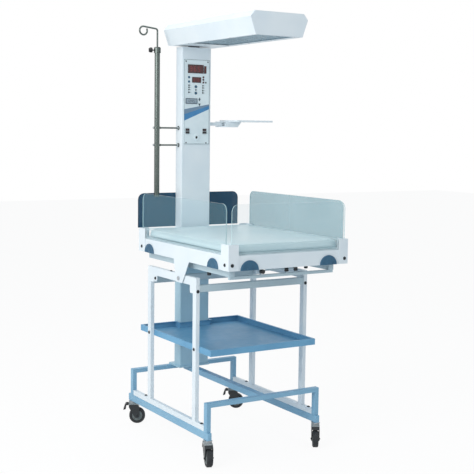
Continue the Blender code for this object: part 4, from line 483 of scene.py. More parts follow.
def disc(name, middle, radius, depth, axis="Z", sides=32):
    bpy.ops.object.select_all(action="DESELECT")
    bpy.ops.mesh.primitive_cylinder_add(
        vertices=sides, radius=radius, depth=depth, location=middle, rotation=AXIS_TURNS[axis]
    )
    return settle(name)


def model_disc(name, height, radius, depth, sides):
    """A disc round the Z axis for a model, its middle's height and its sizes given in millimetres."""
    return disc(name, (0.0, 0.0, height * MM), radius * MM, depth * MM, sides=sides)


def pick(piece, kind, test):
    """Opens a piece for shaping, with the parts selected whose place and direction pass a test."""
    bring_forward(piece)
    bpy.ops.object.mode_set(mode="EDIT")
    bpy.ops.mesh.select_mode(type=kind)
    bpy.ops.mesh.select_all(action="DESELECT")
    shape = bmesh.from_edit_mesh(piece.data)
    if kind == "FACE":
        chosen = [face for face in shape.faces if test(face.calc_center_median(), face.normal)]
    elif kind == "EDGE":
        chosen = []
        for edge in shape.edges:
            start, end = (corner.co for corner in edge.verts)
            if test((start + end) / 2, (end - start).normalized()):
                chosen.append(edge)
    else:
        chosen = [corner for corner in shape.verts if test(corner.co, corner.normal)]
    for part in chosen:
        part.select_set(True)
    shape.select_flush_mode()
    bmesh.update_edit_mesh(piece.data)


def close(piece):
    bpy.ops.object.mode_set(mode="OBJECT")
    return piece


def anything(place, direction):
    return True


def upward(place, normal):
    return normal.z > 0.9


def downward(place, normal):
    return normal.z < -0.9


def frontward(place, normal):
    return normal.y < -0.9


def rearward(place, normal):
    return normal.y > 0.9


def terrace(piece, test, *steps):
    """Insets a piece's chosen faces in steps, each a width and a rise in millimetres."""
    pick(piece, "FACE", test)
    for width, rise in steps:
        bpy.ops.mesh.inset(thickness=width * MM, depth=rise * MM)
    return close(piece)


def nudge(piece, test, move):
    """Moves the corners of a piece whose places pass a test."""
    pick(piece, "VERT", lambda place, normal: test(place))
    bpy.ops.transform.translate(value=move)
    return close(piece)


def round_edges(piece, axis, radius, segments, test=lambda middle: True):
    """Rounds the edges of a piece that run along an axis and pass a test."""
    order = "XYZ".index(axis)
    pick(piece, "EDGE", lambda middle, along: abs(along[order]) > 0.9 and test(middle))
    bpy.ops.mesh.bevel(offset=radius, segments=segments, affect="EDGES")
    return close(piece)


def take(piece, kind, **settings):
    """Applies a modifier of a kind to a piece."""
    bring_forward(piece)
    modifier = piece.modifiers.new(kind.lower(), kind)
    for name, value in settings.items():
        setattr(modifier, name, value)
    bpy.ops.object.modifier_apply(modifier=modifier.name)
    return piece


def ease(piece, width, segments=2, degrees=30):
    """Rounds a piece's sharp edges."""
    return take(
        piece, "BEVEL", width=width, segments=segments, limit_method="ANGLE",
        angle_limit=math.radians(degrees),
    )


def smooth(piece, degrees=35):
    bring_forward(piece)
    bpy.ops.object.shade_smooth_by_angle(angle=math.radians(degrees))
    return piece


def carve(piece, tool):
    """Cuts a tool's shape out of a piece and throws the tool away."""
    take(piece, "BOOLEAN", operation="DIFFERENCE", object=tool, solver="EXACT")
    bpy.data.objects.remove(tool, do_unlink=True)
    return piece


def weld(name, parts):
    """Makes several parts one piece."""
    bpy.ops.object.select_all(action="DESELECT")
    for part in parts:
        part.select_set(True)
    bpy.context.view_layer.objects.active = parts[0]
    bpy.ops.object.join()
    parts[0].name = name
    parts[0].data.name = name
    return parts[0]


def ring(name, middle, outer, inner, depth, axis="Z", sides=40):
    """A flat ring: a disc whose two faces are drawn in and joined through as a bore."""
    piece = disc(name, middle, outer, depth, axis, sides)
    order = "XYZ".index(axis)
    pick(piece, "FACE", lambda place, normal: abs(normal[order]) > 0.9)
    bpy.ops.mesh.inset(thickness=outer - inner)
    bpy.ops.mesh.bridge_edge_loops()
    return close(piece)


def facing(spot, outward, up=UP):
    """The placing that stands a model's Z axis along outward and its Y axis along up, at a spot."""
    outward, up = Vector(outward), Vector(up)
    turn = Matrix((up.cross(outward), up, outward)).transposed().to_4x4()
    return Matrix.Translation(spot) @ turn


def turned(degrees):
    """The placing that turns a model about its Z axis."""
    return Matrix.Rotation(math.radians(degrees), 4, "Z")


def copied(model, name, placing):
    piece = model.copy()
    piece.data = model.data.copy()
    piece.name = name
    piece.data.name = name
    piece.data.transform(placing)
    bpy.context.scene.collection.objects.link(piece)
    return piece


def scrap(*models):
    for model in models:
        bpy.data.objects.remove(model, do_unlink=True)


def fit(piece, finish, body):
    """Gives a piece its finish and the body it rides on."""
    piece.data.materials.clear()
    piece.data.materials.append(finish)
    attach(piece, body)
    return piece


# Fasteners

BED_BODY = "bed"
STAND_BODY = "stand"
COT_HALF_WIDTH = 0.2959
COT_FRONT = -0.5395
COT_REAR = 0.264
COT_RAIL_BOTTOM = 0.8442
BRACKET_BOLT_HEIGHT = 0.023
BRACKET_SIDE_BOLT = 0.030
BRACKET_END_BOLT = 0.017
SIDE_FRAME_FACE = 0.2862
SIDE_FRAME_INNER = 0.2676
FRAME_FRONT = -0.2613
FRAME_REAR = 0.1888
SOLE_TOP = 0.1653
SOLE_BOLT_PLACES = (-0.3035, 0.2238)
UPRIGHT_BOLT_X = 0.2769
UPRIGHT_BOLT_HEIGHT = 0.724
GUSSET_BOLT = (0.1150, 0.7330)
TILT_STOP = (-0.020, 0.782)
TRAY_BOLT_INSET = 0.0143
TRAY_MIDDLE_HEIGHT = 0.4747
FOOT_BOLT_PLACES = (-0.056, 0.0, 0.056)
FOOT_BOLT_Y = 0.343
FOOT_TOP = 0.2744
SHELF_PLATE_FACE = 0.0823
SHELF_BOLT_HEIGHTS = (1.346, 1.390)
FASCIA_SCREWS = ((-0.056, 1.342), (0.0514, 1.341), (-0.0585, 1.7195), (0.0585, 1.7195))
CANOPY_LOW = 1.7912
GUARD_SCREW_X = 0.105
GUARD_SCREW_PLACES = (-0.39, -0.21, -0.03, 0.15)
COLUMN_REAR = 0.320
REAR_SCREW_X = 0.068
REAR_SCREW_HEIGHTS = (0.470, 0.790, 1.110, 1.430, 1.740)
INLET_SCREW_X = 0.0205
INLET_HEIGHT = 0.400
POLE_X = -0.192
POLE_Y = 0.29045


def model_cap_bolt():
    """A low round-headed bolt with a hex socket, on a chamfered washer, standing at the origin."""
    bolt = model_disc("bolt_model", 0.4, 7.4, 1.2, 28)
    pick(bolt, "FACE", upward)
    bpy.ops.mesh.inset(thickness=1.7 * MM)
    bpy.ops.mesh.extrude_region_move(TRANSFORM_OT_translate={"value": (0.0, 0.0, 1.6 * MM)})
    bpy.ops.mesh.inset(thickness=0.6 * MM, depth=0.7 * MM)
    bpy.ops.mesh.inset(thickness=1.1 * MM, depth=0.4 * MM)
    close(bolt)
    carve(bolt, model_disc("bolt_socket", 3.6, 2.5, 3.4, 6))
    ease(bolt, 0.15 * MM, 1, 50)
    return smooth(bolt, 30)


def model_cross_screw():
    """A small countersunk screw with a cross slot, standing at the origin."""
    screw = terrace(model_disc("screw_model", 0.2, 3.2, 0.8, 20), upward, (0.6, 0.35))
    for long, short in ((1.7, 0.4), (0.4, 1.7)):
        carve(screw, small_block("screw_slot", (-long, -short, 0.4), (long, short, 2.0)))
    return smooth(screw, 30)


def model_dome_nut():
    """A domed nut on a washer, standing at the origin."""
    washer = model_disc("nut_model", 0.3, 5.6, 1.0, 24)
    body = model_disc("nut_body", 1.5, 4.6, 1.8, 6)
    dome = terrace(model_disc("nut_dome", 2.6, 3.6, 0.6, 24), upward, (0.6, 0.4), (1.0, 0.2))
    ease(body, 0.4 * MM, 2, 50)
    ease(washer, 0.2 * MM, 1, 50)
    return smooth(weld("nut_model", [washer, body, dome]), 40)


def set_of_bolts(model, name, spots, finish=DARK_STEEL, body=STAND_BODY):
    """One piece of several bolts, each at a spot, facing outward and turned to its upper side."""
    bolts = [copied(model, name, facing(spot, outward, up)) for spot, outward, up in spots]
    return fit(weld(name, bolts), finish, body)


def fasten():
    """The bolts and screws of the cot, frames, tray, column, shelf, fascia, canopy and inlet."""
    bolt = model_cap_bolt()
    screw = model_cross_screw()
    nut = model_dome_nut()
    for side, sign in SIDES:
        fasten_side(side, sign, bolt, nut)
    foot = [(at(x, FOOT_BOLT_Y, FOOT_TOP), UP, AWAY) for x in FOOT_BOLT_PLACES]
    set_of_bolts(bolt, "column_foot_bolts", foot)
    shelf = [(at(SHELF_PLATE_FACE, POLE_Y, z), (1.0, 0.0, 0.0), UP) for z in SHELF_BOLT_HEIGHTS]
    set_of_bolts(bolt, "shelf_bracket_bolts", shelf)
    spots = [(on_fascia(x, z), TOWARDS, UP) for x, z in FASCIA_SCREWS]
    set_of_bolts(screw, "fascia_screws", spots)
    spots = [
        (at(sign * GUARD_SCREW_X, y, CANOPY_LOW), DOWN, AWAY)
        for _, sign in SIDES for y in GUARD_SCREW_PLACES
    ]
    set_of_bolts(screw, "guard_screws", spots, ZINC, "canopy")
    spots = [
        (at(sign * REAR_SCREW_X, COLUMN_REAR + 1.2 * MM, z), AWAY, UP)
        for _, sign in SIDES for z in REAR_SCREW_HEIGHTS
    ]
    set_of_bolts(screw, "rear_cover_screws", spots)
    spots = [
        (at(sign * INLET_SCREW_X, COLUMN_REAR + 5.3 * MM, INLET_HEIGHT), AWAY, UP)
        for _, sign in SIDES
    ]
    set_of_bolts(screw, "inlet_screws", spots, ZINC)
    scrap(bolt, screw, nut)


def fasten_side(side, sign, bolt, nut):
    """One side's bolts: on the corner brackets, sole, uprights and tray, and the tilt stop."""
    outward = (sign, 0.0, 0.0)
    low = COT_RAIL_BOTTOM + BRACKET_BOLT_HEIGHT
    for end, corner, inward in (("front", COT_FRONT, 1), ("rear", COT_REAR, -1)):
        side_spot = at(sign * COT_HALF_WIDTH, corner + inward * BRACKET_SIDE_BOLT, low)
        end_spot = at(sign * (COT_HALF_WIDTH - BRACKET_END_BOLT), corner, low)
        spots = [(side_spot, outward, UP), (end_spot, (0.0, -inward, 0.0), UP)]
        set_of_bolts(bolt, "bracket_bolts_" + end + "_" + side, spots, body=BED_BODY)
    middle = sign * (SIDE_FRAME_FACE + SIDE_FRAME_INNER) / 2
    sole = [(at(middle, y, SOLE_TOP), UP, AWAY) for y in SOLE_BOLT_PLACES]
    set_of_bolts(bolt, "sole_bolts_" + side, sole)
    uprights = [
        (at(sign * UPRIGHT_BOLT_X, FRAME_FRONT, UPRIGHT_BOLT_HEIGHT), TOWARDS, UP),
        (at(sign * SIDE_FRAME_FACE, *GUSSET_BOLT), outward, UP),
        (at(sign * UPRIGHT_BOLT_X, FRAME_REAR, UPRIGHT_BOLT_HEIGHT), AWAY, UP),
    ]
    set_of_bolts(bolt, "frame_bolts_" + side, uprights)
    set_of_bolts(nut, "tilt_stop_" + side, [(at(middle, *TILT_STOP), UP, AWAY)])
    tray = [
        (at(sign * SIDE_FRAME_FACE, y, TRAY_MIDDLE_HEIGHT), outward, UP)
        for y in (FRAME_FRONT + TRAY_BOLT_INSET, FRAME_REAR - TRAY_BOLT_INSET)
    ]
    set_of_bolts(bolt, "tray_bolts_" + side, tray)


# Cot bumpers

BUMPER_RADIUS = 42.6
BUMPER_FLATTENING = 0.955
COT_RAIL_FACE = 0.2926
COT_FRONT_FACE = -0.5362
PAD_SPOTS_ALONG_SIDE = (-0.4115, 0.160)
PAD_SPOT_ALONG_FRONT = 0.1959


def model_bumper():
    """A half-round bumper, flat side down, with a raised rim, a dished face, ribs and two screw wells."""
    pad = model_disc("bumper_model", 2.0, BUMPER_RADIUS, 4.0, 96)
    terrace(pad, upward, (1.2, 1.2), (3.4, 0.0), (0.9, -0.7), (22.0, 0.0), (1.2, 1.2))
    pick(pad, "FACE", anything)
    bpy.ops.mesh.bisect(plane_co=(0.0, 0.05 * MM, 0.0), plane_no=AWAY, use_fill=True, clear_inner=True)
    bpy.ops.mesh.select_all(action="SELECT")
    bpy.ops.transform.resize(value=(1.0, BUMPER_FLATTENING, 1.0), center_override=ORIGIN)
    close(pad)
    ledge = ease(small_block("ledge", (-40.0, 0.05, 2.0), (40.0, 2.4, 4.7)), 0.5 * MM)
    parts = [pad, ledge]
    for degrees in (30, 60, 90, 120, 150):
        rib = terrace(small_block("rib", (15.0, -0.7, 3.0), (37.4, 0.7, 4.7)), upward, (0.35, 0.4))
        rib.data.transform(turned(degrees))
        parts.append(rib)
    for x in (-22.0, 22.0):
        well = disc("well", Vector((x, 8.0, 3.6)) * MM, 3.6 * MM, 3.0 * MM, sides=24)
        parts.append(terrace(well, upward, (0.8, 0.0), (0.3, -0.9)))
    return smooth(weld("bumper_model", parts), 30)


def build_bumpers():
    """Six navy bumpers over the rails: two along each side and two across the foot end."""
    model = model_bumper()
    spots = {}
    for side, sign in SIDES:
        for end, y in zip(("front", "rear"), PAD_SPOTS_ALONG_SIDE):
            spot = at(sign * COT_RAIL_FACE, y, COT_RAIL_BOTTOM)
            spots[end + "_" + side] = facing(spot, (sign, 0.0, 0.0))
    for side, sign in SIDES:
        spot = at(sign * PAD_SPOT_ALONG_FRONT, COT_FRONT_FACE, COT_RAIL_BOTTOM)
        spots["foot_" + side] = facing(spot, TOWARDS)
    for name, placing in spots.items():
        fit(copied(model, "bumper_" + name, placing), NAVY_PLASTIC, BED_BODY)
    scrap(model)


# Mattress

SWELL_CAP = 3.5 * MM
SWELL_STEPS = 20
COVER_VOXEL = 7.0 * MM
WELT_RADIUS = 1.6 * MM
WELT_CORNER = 30.0 * MM
# Each welt's distance from the mattress's top or bottom, and how far inside its side it runs
TOP_WELT = (11.5 * MM, 2.6 * MM)
BOTTOM_WELT = (4.0 * MM, 1.2 * MM)


def swell_cover(cover):
    """Lets the cover fill out under a little pressure, then holds each point near where it began."""
    start = [corner.co.copy() for corner in cover.data.vertices]
    bring_forward(cover)
    cloth = cover.modifiers.new("filling", "CLOTH")
    cloth.settings.quality = 5
    cloth.settings.mass = 0.35
    cloth.settings.tension_stiffness = 25
    cloth.settings.compression_stiffness = 25
    cloth.settings.bending_stiffness = 3
    cloth.settings.use_pressure = True
    cloth.settings.uniform_pressure_force = 4
    cloth.settings.effector_weights.gravity = 0
    cloth.collision_settings.use_collision = False
    cloth.point_cache.frame_start = 1
    cloth.point_cache.frame_end = SWELL_STEPS
    scene = bpy.context.scene
    for step in range(1, SWELL_STEPS + 1):
        scene.frame_set(step)
    bpy.ops.object.modifier_apply(modifier=cloth.name)
    scene.frame_set(1)
    for corner, begun in zip(cover.data.vertices, start):
        move = corner.co - begun
        if move.length > SWELL_CAP:
            corner.co = begun + move.normalized() * SWELL_CAP


def build_mattress():
    """The cot's foam mattress: a swollen vinyl cover with a welt round its top and bottom edges."""
    low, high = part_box("mattress")
    cover = copied(NODES["mattress"], "mattress_cover", Matrix.Identity(4))
    pick(cover, "VERT", anything)
    bpy.ops.mesh.remove_doubles(threshold=0.05 * MM)
    shrink = tuple((length - 2 * SWELL_CAP) / length for length in high - low)
    bpy.ops.transform.resize(value=shrink, center_override=(low + high) / 2)
    close(cover)
    take(cover, "REMESH", mode="VOXEL", voxel_size=COVER_VOXEL)
    swell_cover(cover)
    for corner in cover.data.vertices:
        corner.co.z = max(corner.co.z, low.z)
    take(cover, "SUBSURF", levels=1, render_levels=1)
    bring_forward(cover)
    bpy.ops.object.shade_smooth()
    fit(cover, VINYL, BED_BODY)
    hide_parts("mattress")
    build_welt("mattress_welt_top", low, high, high.z - TOP_WELT[0], TOP_WELT[1])
    build_welt("mattress_welt_bottom", low, high, low.z + BOTTOM_WELT[0], BOTTOM_WELT[1])


def build_welt(name, low, high, height, inset):
    """A thin welt that runs level round the mattress, just inside its outline."""
    bpy.ops.object.select_all(action="DESELECT")
    place = ((low.x + high.x) / 2, (low.y + high.y) / 2, height)
    bpy.ops.mesh.primitive_plane_add(size=1.0, location=place)
    bpy.context.object.scale = (high.x - low.x - 2 * inset, high.y - low.y - 2 * inset, 1.0)
    pick(settle(name), "VERT", anything)
    bpy.ops.mesh.bevel(offset=WELT_CORNER, segments=10, affect="VERTICES")
    bpy.ops.mesh.delete(type="ONLY_FACE")
    bpy.ops.object.mode_set(mode="OBJECT")
    bpy.ops.object.convert(target="CURVE")
    curve = bpy.context.object.data
    curve.bevel_depth = WELT_RADIUS
    curve.bevel_resolution = 3
    bpy.ops.object.convert(target="MESH")
    fit(smooth(settle(name), 60), VINYL, BED_BODY)


# Control fascia

# Each bar of a figure: its place across and up, in shares of the figure, and whether it lies level
SEGMENTS = {
    "top": (0.0, 1.0, True),
    "upper_left": (-0.5, 0.5, False),
    "upper_right": (0.5, 0.5, False),
    "middle": (0.0, 0.0, True),
    "lower_left": (-0.5, -0.5, False),
    "lower_right": (0.5, -0.5, False),
    "bottom": (0.0, -1.0, True),
}
FIGURES = {
    "0": ("top", "upper_left", "upper_right", "lower_left", "lower_right", "bottom"),
    "1": ("upper_right", "lower_right"),
    "2": ("top", "upper_right", "middle", "lower_left", "bottom"),
    "3": ("top", "upper_right", "middle", "lower_right", "bottom"),
    "4": ("upper_left", "upper_right", "middle", "lower_right"),
    "5": ("top", "upper_left", "middle", "lower_right", "bottom"),
    "6": ("top", "upper_left", "middle", "lower_left", "lower_right", "bottom"),
    "7": ("top", "upper_right", "lower_right"),
}
# Each row of figures: its text, left end, middle height, then half height, pitch, thickness and rise in mm
FIGURE_ROWS = {
    "temperature_figures": ("36.5", -0.0375, 1.6856, 10.0, 21.0, 2.4, 1.9, RED_GLOW, "red_window"),
    "set_point_figures": ("37.0", -0.0185, 1.6350, 5.6, 11.5, 1.5, 1.5, RED_GLOW, "red_window"),
    "timer_figures": ("12:45", -0.0505, 1.5358, 5.2, 10.6, 1.3, 1.9, LCD_INK, "grey_window"),
}
# Each frame: its left, right, low and high edges, then its width and depth in mm
FRAMES = {
    "fascia_outline": ((-0.0677, 0.0677, 1.3353, 1.7287), 1.6, 0.25, EDGE_INK, "black_plastic"),
    "temperature_display_frame": ((-0.0486, 0.0350, 1.6656, 1.7055), 2.0, 2.6, DEEP_RED, "red_window"),
    "set_point_frame": ((-0.0264, 0.0219, 1.6221, 1.6479), 1.6, 1.8, DEEP_RED, "red_window"),
    "timer_display_frame": (
        (-0.0600, 0.0025, 1.5230, 1.5485), 3.0, 2.4, SLATE_PLASTIC, "dark_blue_plastic"
    ),
}
WINDOWS = {
    "power_bar_window": (0.0385, 0.0500, 1.6660, 1.7005),
    "set_point_window": (-0.0250, 0.0205, 1.6235, 1.6465),
}
POWER_BARS = 8
POWER_BAR_LEFT = 0.0412
POWER_BAR_RIGHT = 0.0474
POWER_BAR_BOTTOM = 1.6690
BUTTON_PLACES = ((-0.0425, 1.6464), (-0.0425, 1.6261))
LEFT_LAMPS = tuple((-0.0425, z) for z in (1.6087, 1.5994, 1.5889, 1.5766))
RIGHT_LAMPS = tuple((0.0320, z) for z in (1.6088, 1.5988, 1.5864, 1.5758))
ALARM_LAMPS = ((0.0345, 1.6485), (0.0345, 1.6369), (0.0345, 1.6240))
MAINS_LAMPS = ((-0.0055, 1.5885), (0.0477, 1.6237))
TIMER_KEY_X = 0.0145
SETTING_KEY_X = -0.0055
SETTING_KEY_HEIGHTS = (1.6036, 1.5735)
# How far the tick marks beside the right lamps and the left lamps reach, in mm
RIGHT_MARKS = (0.0385, RIGHT_LAMPS, (7.0, 6.0, 7.0, 6.0))
LEFT_MARKS = (-0.0360, LEFT_LAMPS, (5.0, 6.0, 5.0, 6.0))
WEDGE_HALF_WIDTH = 0.0664
# Each band of the wedge: its low and high edges at the left, and how far these rise to the right
WEDGE_BANDS = {
    "fascia_wedge_deep": (1.4440, 1.4740, 0.0560, 0.0420, WEDGE_BLUE),
    "fascia_wedge_pale": (1.4740, 1.4975, 0.0420, 0.0255, WEDGE_GREY),
}
ROCKER_HEIGHT = 1.3960
ROCKER_PLACES = {"left": -0.0495, "right": 0.0420}
SOCKET_X = 0.0005
SOCKET_HEIGHT = 1.3667
CONTACT_CIRCLE = 3.8 * MM


def face_frame(name, edges, width, depth):
    """A raised frame: a sheet with its middle cut out, thickened outwards and eased along its edges."""
    left, right, low, high = edges
    bpy.ops.object.select_all(action="DESELECT")
    place = on_fascia((left + right) / 2, (low + high) / 2)
    bpy.ops.mesh.primitive_plane_add(size=1.0, location=place, rotation=AXIS_TURNS["Y"])
    bpy.context.object.scale = (right - left, high - low, 1.0)
    piece = settle(name)
    pick(piece, "FACE", anything)
    bpy.ops.mesh.inset(thickness=width)
    bpy.ops.mesh.delete(type="FACE")
    close(piece)
    take(piece, "SOLIDIFY", thickness=depth, offset=1.0, use_even_offset=True)
    return ease(piece, min(width, depth) * 0.3)


def fit_frame(name):
    edges, width, depth, finish, slot = FRAMES[name]
    fit(face_frame(name, edges, width * MM, depth * MM), finish, STAND_BODY)


def face_window(name, edges):
    """A thin window on the fascia with rounded corners and a slightly raised face."""
    left, right, low, high = edges
    plate = block(name, on_fascia(left, low, 1.4 * MM), on_fascia(right, high, -SINK))
    round_edges(plate, "Y", 0.8 * MM, 4)
    return terrace(plate, frontward, (0.4, 0.15))


def draw_figures(name):
    """A row of bar figures on a display, with square dots for a point or a colon."""
    text, left, middle_height, *sizes, finish, slot = FIGURE_ROWS[name]
    half_height, pitch, thick, proud = (size * MM for size in sizes)
    width = half_height * 0.95
    bars = []
    place = left
    for figure in text:
        if figure in ".:":
            heights = (-half_height,) if figure == "." else (-half_height * 0.4, half_height * 0.4)
            for rise in heights:
                x = place - pitch * 0.18 - thick / 2
                low = on_fascia(x, middle_height + rise - thick / 2, proud + 0.24 * MM)
                bars.append(block("dot", low, low + Vector((thick, 0.30 * MM, thick))))
            continue
        for bar_name in FIGURES[figure]:
            across, up, level = SEGMENTS[bar_name]
            bar = block_bar((width if level else half_height) - thick * 0.35, thick)
            x = place + width / 2 + across * width
            spot = on_fascia(x, middle_height + up * half_height, proud)
            bar.data.transform(facing(spot, TOWARDS) @ turned(0 if level else 90))
            bars.append(bar)
        place += pitch
    return fit(weld(name, bars), finish, STAND_BODY)


def block_bar(length, thick):
    """A long six-sided bar lying along X at the origin."""
    bar = disc("bar", (0.0, 0.0, 0.12 * MM), thick * 0.577, 0.24 * MM, sides=6)
    pick(bar, "VERT", anything)
    bpy.ops.transform.rotate(value=math.radians(30), orient_axis="Z", center_override=ORIGIN)
    close(bar)
    reach = length / 2 - thick * 0.5
    nudge(bar, lambda place: place.x > 0.01 * MM, (reach, 0.0, 0.0))
    return nudge(bar, lambda place: place.x < -0.01 * MM, (-reach, 0.0, 0.0))


def model_button(radius, rise):
    """A round membrane button with a raised ring and a shallow dished face, standing at the origin."""
    button = disc("button_model", (0.0, 0.0, rise / 2 - SINK / 2), radius, rise + SINK, sides=28)
    pick(button, "FACE", upward)
    for width, depth in ((0.14, 0.3), (0.12, 0.0), (0.10, -0.3), (0.30, 0.12)):
        bpy.ops.mesh.inset(thickness=radius * width, depth=rise * depth)
    return smooth(close(button), 40)


def model_lamp(radius):
    """A small domed lamp in a thin collar, standing at the origin."""
    lamp = disc("lamp_model", (0.0, 0.0, 0.3 * MM), radius, 1.0 * MM, sides=20)
    pick(lamp, "FACE", upward)
    for width, depth in ((0.2, 0.0), (0.1, 0.35), (0.25, 0.2), (0.25, 0.06)):
        bpy.ops.mesh.inset(thickness=radius * width, depth=radius * depth)
    return smooth(close(lamp), 50)


def model_arrow_key():
    """A key shaped as a broad arrow on a stem, pointing up along Y, standing at the origin."""
    key = model_disc("arrow_model", 0.4, 7.0, 1.2, 3)
    pick(key, "FACE", frontward)
    bpy.ops.mesh.inset(thickness=0.01 * MM)
    bpy.ops.transform.resize(value=(0.42, 1.0, 1.0), center_override=(0.0, 0.0, 0.4 * MM))
    bpy.ops.mesh.extrude_region_move(TRANSFORM_OT_translate={"value": (0.0, -6.0 * MM, 0.0)})
    return ease(close(key), 0.3 * MM, 2, 25)


def model_wedge_key():
    """A key shaped as a tall wedge, its point up along Y, standing at the origin."""
    key = model_disc("wedge_model", 0.4, 7.0, 1.2, 3)
    nudge(key, lambda place: place.y > 1.0 * MM, (0.0, 2.4 * MM, 0.0))
    return ease(key, 0.3 * MM, 2, 25)


def build_fascia():
    """The fascia's fittings: frames, windows and figures, keys and lamps, wedge, switches and socket."""
    fit_frame("fascia_outline")
    fit_frame("temperature_display_frame")
    for name, edges in WINDOWS.items():
        fit(face_window(name, edges), RED_GLASS, STAND_BODY)
    fit_frame("set_point_frame")
    draw_figures("temperature_figures")
    draw_figures("set_point_figures")
    build_power_bars()
    draw_figures("timer_figures")
    fit_frame("timer_display_frame")
    build_fascia_keys()
    build_fascia_marks()
    build_wedge()
    build_switch_fittings()
    build_socket_insert()


def build_power_bars():
    """The column of power bars in its window."""
    bars = []
    for step in range(POWER_BARS):
        low = POWER_BAR_BOTTOM + step * 3.6 * MM
        start = on_fascia(POWER_BAR_LEFT, low, 1.85 * MM)
        bar = block("lit_bar", start, on_fascia(POWER_BAR_RIGHT, low + 2.2 * MM, 1.5 * MM))
        bars.append(terrace(bar, frontward, (0.3, 0.1)))
    fit(weld("power_bars", bars), DIM_RED, STAND_BODY)


def build_fascia_keys():
    """The fascia's round buttons, its lamps, and the two keys beside the timer."""
    button = model_button(5.4 * MM, 1.2 * MM)
    lamp = model_lamp(3.7 * MM)
    large_lamp = model_lamp(4.6 * MM)
    arrow = model_arrow_key()
    wedge = model_wedge_key()
    for order, (x, z) in enumerate(BUTTON_PLACES):
        piece = copied(button, "mode_button_" + str(order + 1), facing(on_fascia(x, z), TOWARDS))
        fit(piece, NAVY_PLASTIC, STAND_BODY)
    for name, model, spots, finish, slot in (
        ("left_lamps", lamp, LEFT_LAMPS, LAMP_PLASTIC, "dark_blue_plastic"),
        ("right_lamps", lamp, RIGHT_LAMPS, LAMP_PLASTIC, "dark_blue_plastic"),
        ("alarm_lamps", large_lamp, ALARM_LAMPS, RED_LAMP_PLASTIC, "red_window"),
        ("mains_lamps", lamp, MAINS_LAMPS, LAMP_PLASTIC, "dark_blue_plastic"),
    ):
        lamps = [copied(model, name, facing(on_fascia(x, z), TOWARDS)) for x, z in spots]
        fit(weld(name, lamps), finish, STAND_BODY)
    for name, model, z, up in (
        ("timer_key_up", arrow, 1.5465, UP),
        ("timer_key_down", wedge, 1.5216, DOWN),
    ):
        piece = copied(model, name, facing(on_fascia(TIMER_KEY_X, z), TOWARDS, up))
        fit(piece, SLATE_PLASTIC, STAND_BODY)
    scrap(button, lamp, large_lamp, arrow, wedge)


def build_fascia_marks():
    """The rings round the setting keys and the tick marks beside the lamps."""
    rings = [
        ring("ring", on_fascia(SETTING_KEY_X, z, 0.25 * MM), 7.0 * MM, 5.3 * MM, 0.8 * MM, "Y", 32)
        for z in SETTING_KEY_HEIGHTS
    ]
    piece = ease(weld("setting_key_rings", rings), 0.15 * MM, 2, 40)
    fit(piece, SLATE_PLASTIC, STAND_BODY)
    marks = []
    for x, lamps, reaches in (RIGHT_MARKS, LEFT_MARKS):
        for (_, z), reach in zip(lamps, reaches):
            start = on_fascia(x, z - 0.5 * MM, 0.25 * MM)
            mark = block("mark", start, on_fascia(x + reach * MM, z + 0.5 * MM, -SINK))
            marks.append(terrace(mark, frontward, (0.15, 0.05)))
    fit(weld("fascia_tick_marks", marks), SLATE_PLASTIC, STAND_BODY)


def build_wedge():
    """A plain two-tone wedge across the fascia, straight-edged and rising to the right."""
    for name, (low, high, rise_low, rise_high, finish) in WEDGE_BANDS.items():
        start = on_fascia(-WEDGE_HALF_WIDTH, low, 0.2 * MM)
        band = block(name, start, on_fascia(WEDGE_HALF_WIDTH, high, -SINK))
        middle = (low + high) / 2
        nudge(band, lambda place: place.x > MIDDLE_X and place.z < middle, (0.0, 0.0, rise_low))
        nudge(
            band, lambda place: place.x > MIDDLE_X and abs(place.z - high) < 0.1 * MM,
            (0.0, 0.0, rise_high),
        )
        terrace(band, frontward, (0.2, 0.05))
        fit(band, finish, STAND_BODY)


def build_switch_fittings():
    """A moulded frame round each rocker switch, and the lens and the line on its rocker."""
    for side, x in ROCKER_PLACES.items():
        half_width, half_height = 11.3 * MM, 13.6 * MM
        edges = (x - half_width, x + half_width, ROCKER_HEIGHT - half_height, ROCKER_HEIGHT + half_height)
        piece = face_frame("rocker_frame_" + side, edges, 1.4 * MM, 0.9 * MM)
        fit(piece, PALE_PLASTIC, STAND_BODY)
        rocker = "rocker_switch_" + side
        low = on_fascia(x - 5.0 * MM, 1.3985, 5.0 * MM)
        lens = block("rocker_lens_" + side, low, on_fascia(x + 5.0 * MM, 1.4045, 3.4 * MM))
        nudge(lens, lambda place: place.z > 1.4015, (0.0, 0.55 * MM, 0.0))
        fit(ease(lens, 0.4 * MM), DEEP_RED, rocker)
        low = on_fascia(x - 9.2 * MM, 1.3953, 3.5 * MM)
        line = block("rocker_line_" + side, low, on_fascia(x + 9.2 * MM, 1.3967, 2.4 * MM))
        fit(ease(line, 0.25 * MM), PALE_PLASTIC, rocker)


def build_socket_insert():
    """The probe socket's pale sleeve and its dark insert with five contacts."""
    place = on_fascia(SOCKET_X, SOCKET_HEIGHT, -3.0 * MM)
    sleeve = ring("probe_socket_sleeve", place, 8.1 * MM, 6.2 * MM, 9.0 * MM, "Y", 32)
    fit(smooth(ease(sleeve, 0.4 * MM, 2, 50), 40), PALE_PLASTIC, STAND_BODY)
    place = on_fascia(SOCKET_X, SOCKET_HEIGHT, -4.4 * MM)
    insert = disc("probe_socket_insert", place, 6.3 * MM, 5.2 * MM, "Y", 32)
    terrace(insert, frontward, (0.6, 0.0), (0.3, -0.8))
    for step in range(5):
        turn = math.radians(90 + 72 * step)
        x = SOCKET_X + CONTACT_CIRCLE * math.cos(turn)
        spot = on_fascia(x, SOCKET_HEIGHT + CONTACT_CIRCLE * math.sin(turn))
        carve(insert, disc("contact_bore", spot, 0.8 * MM, 9.0 * MM, "Y", 12))
    fit(smooth(insert, 30), BLACK_PLASTIC, STAND_BODY)


# Casters

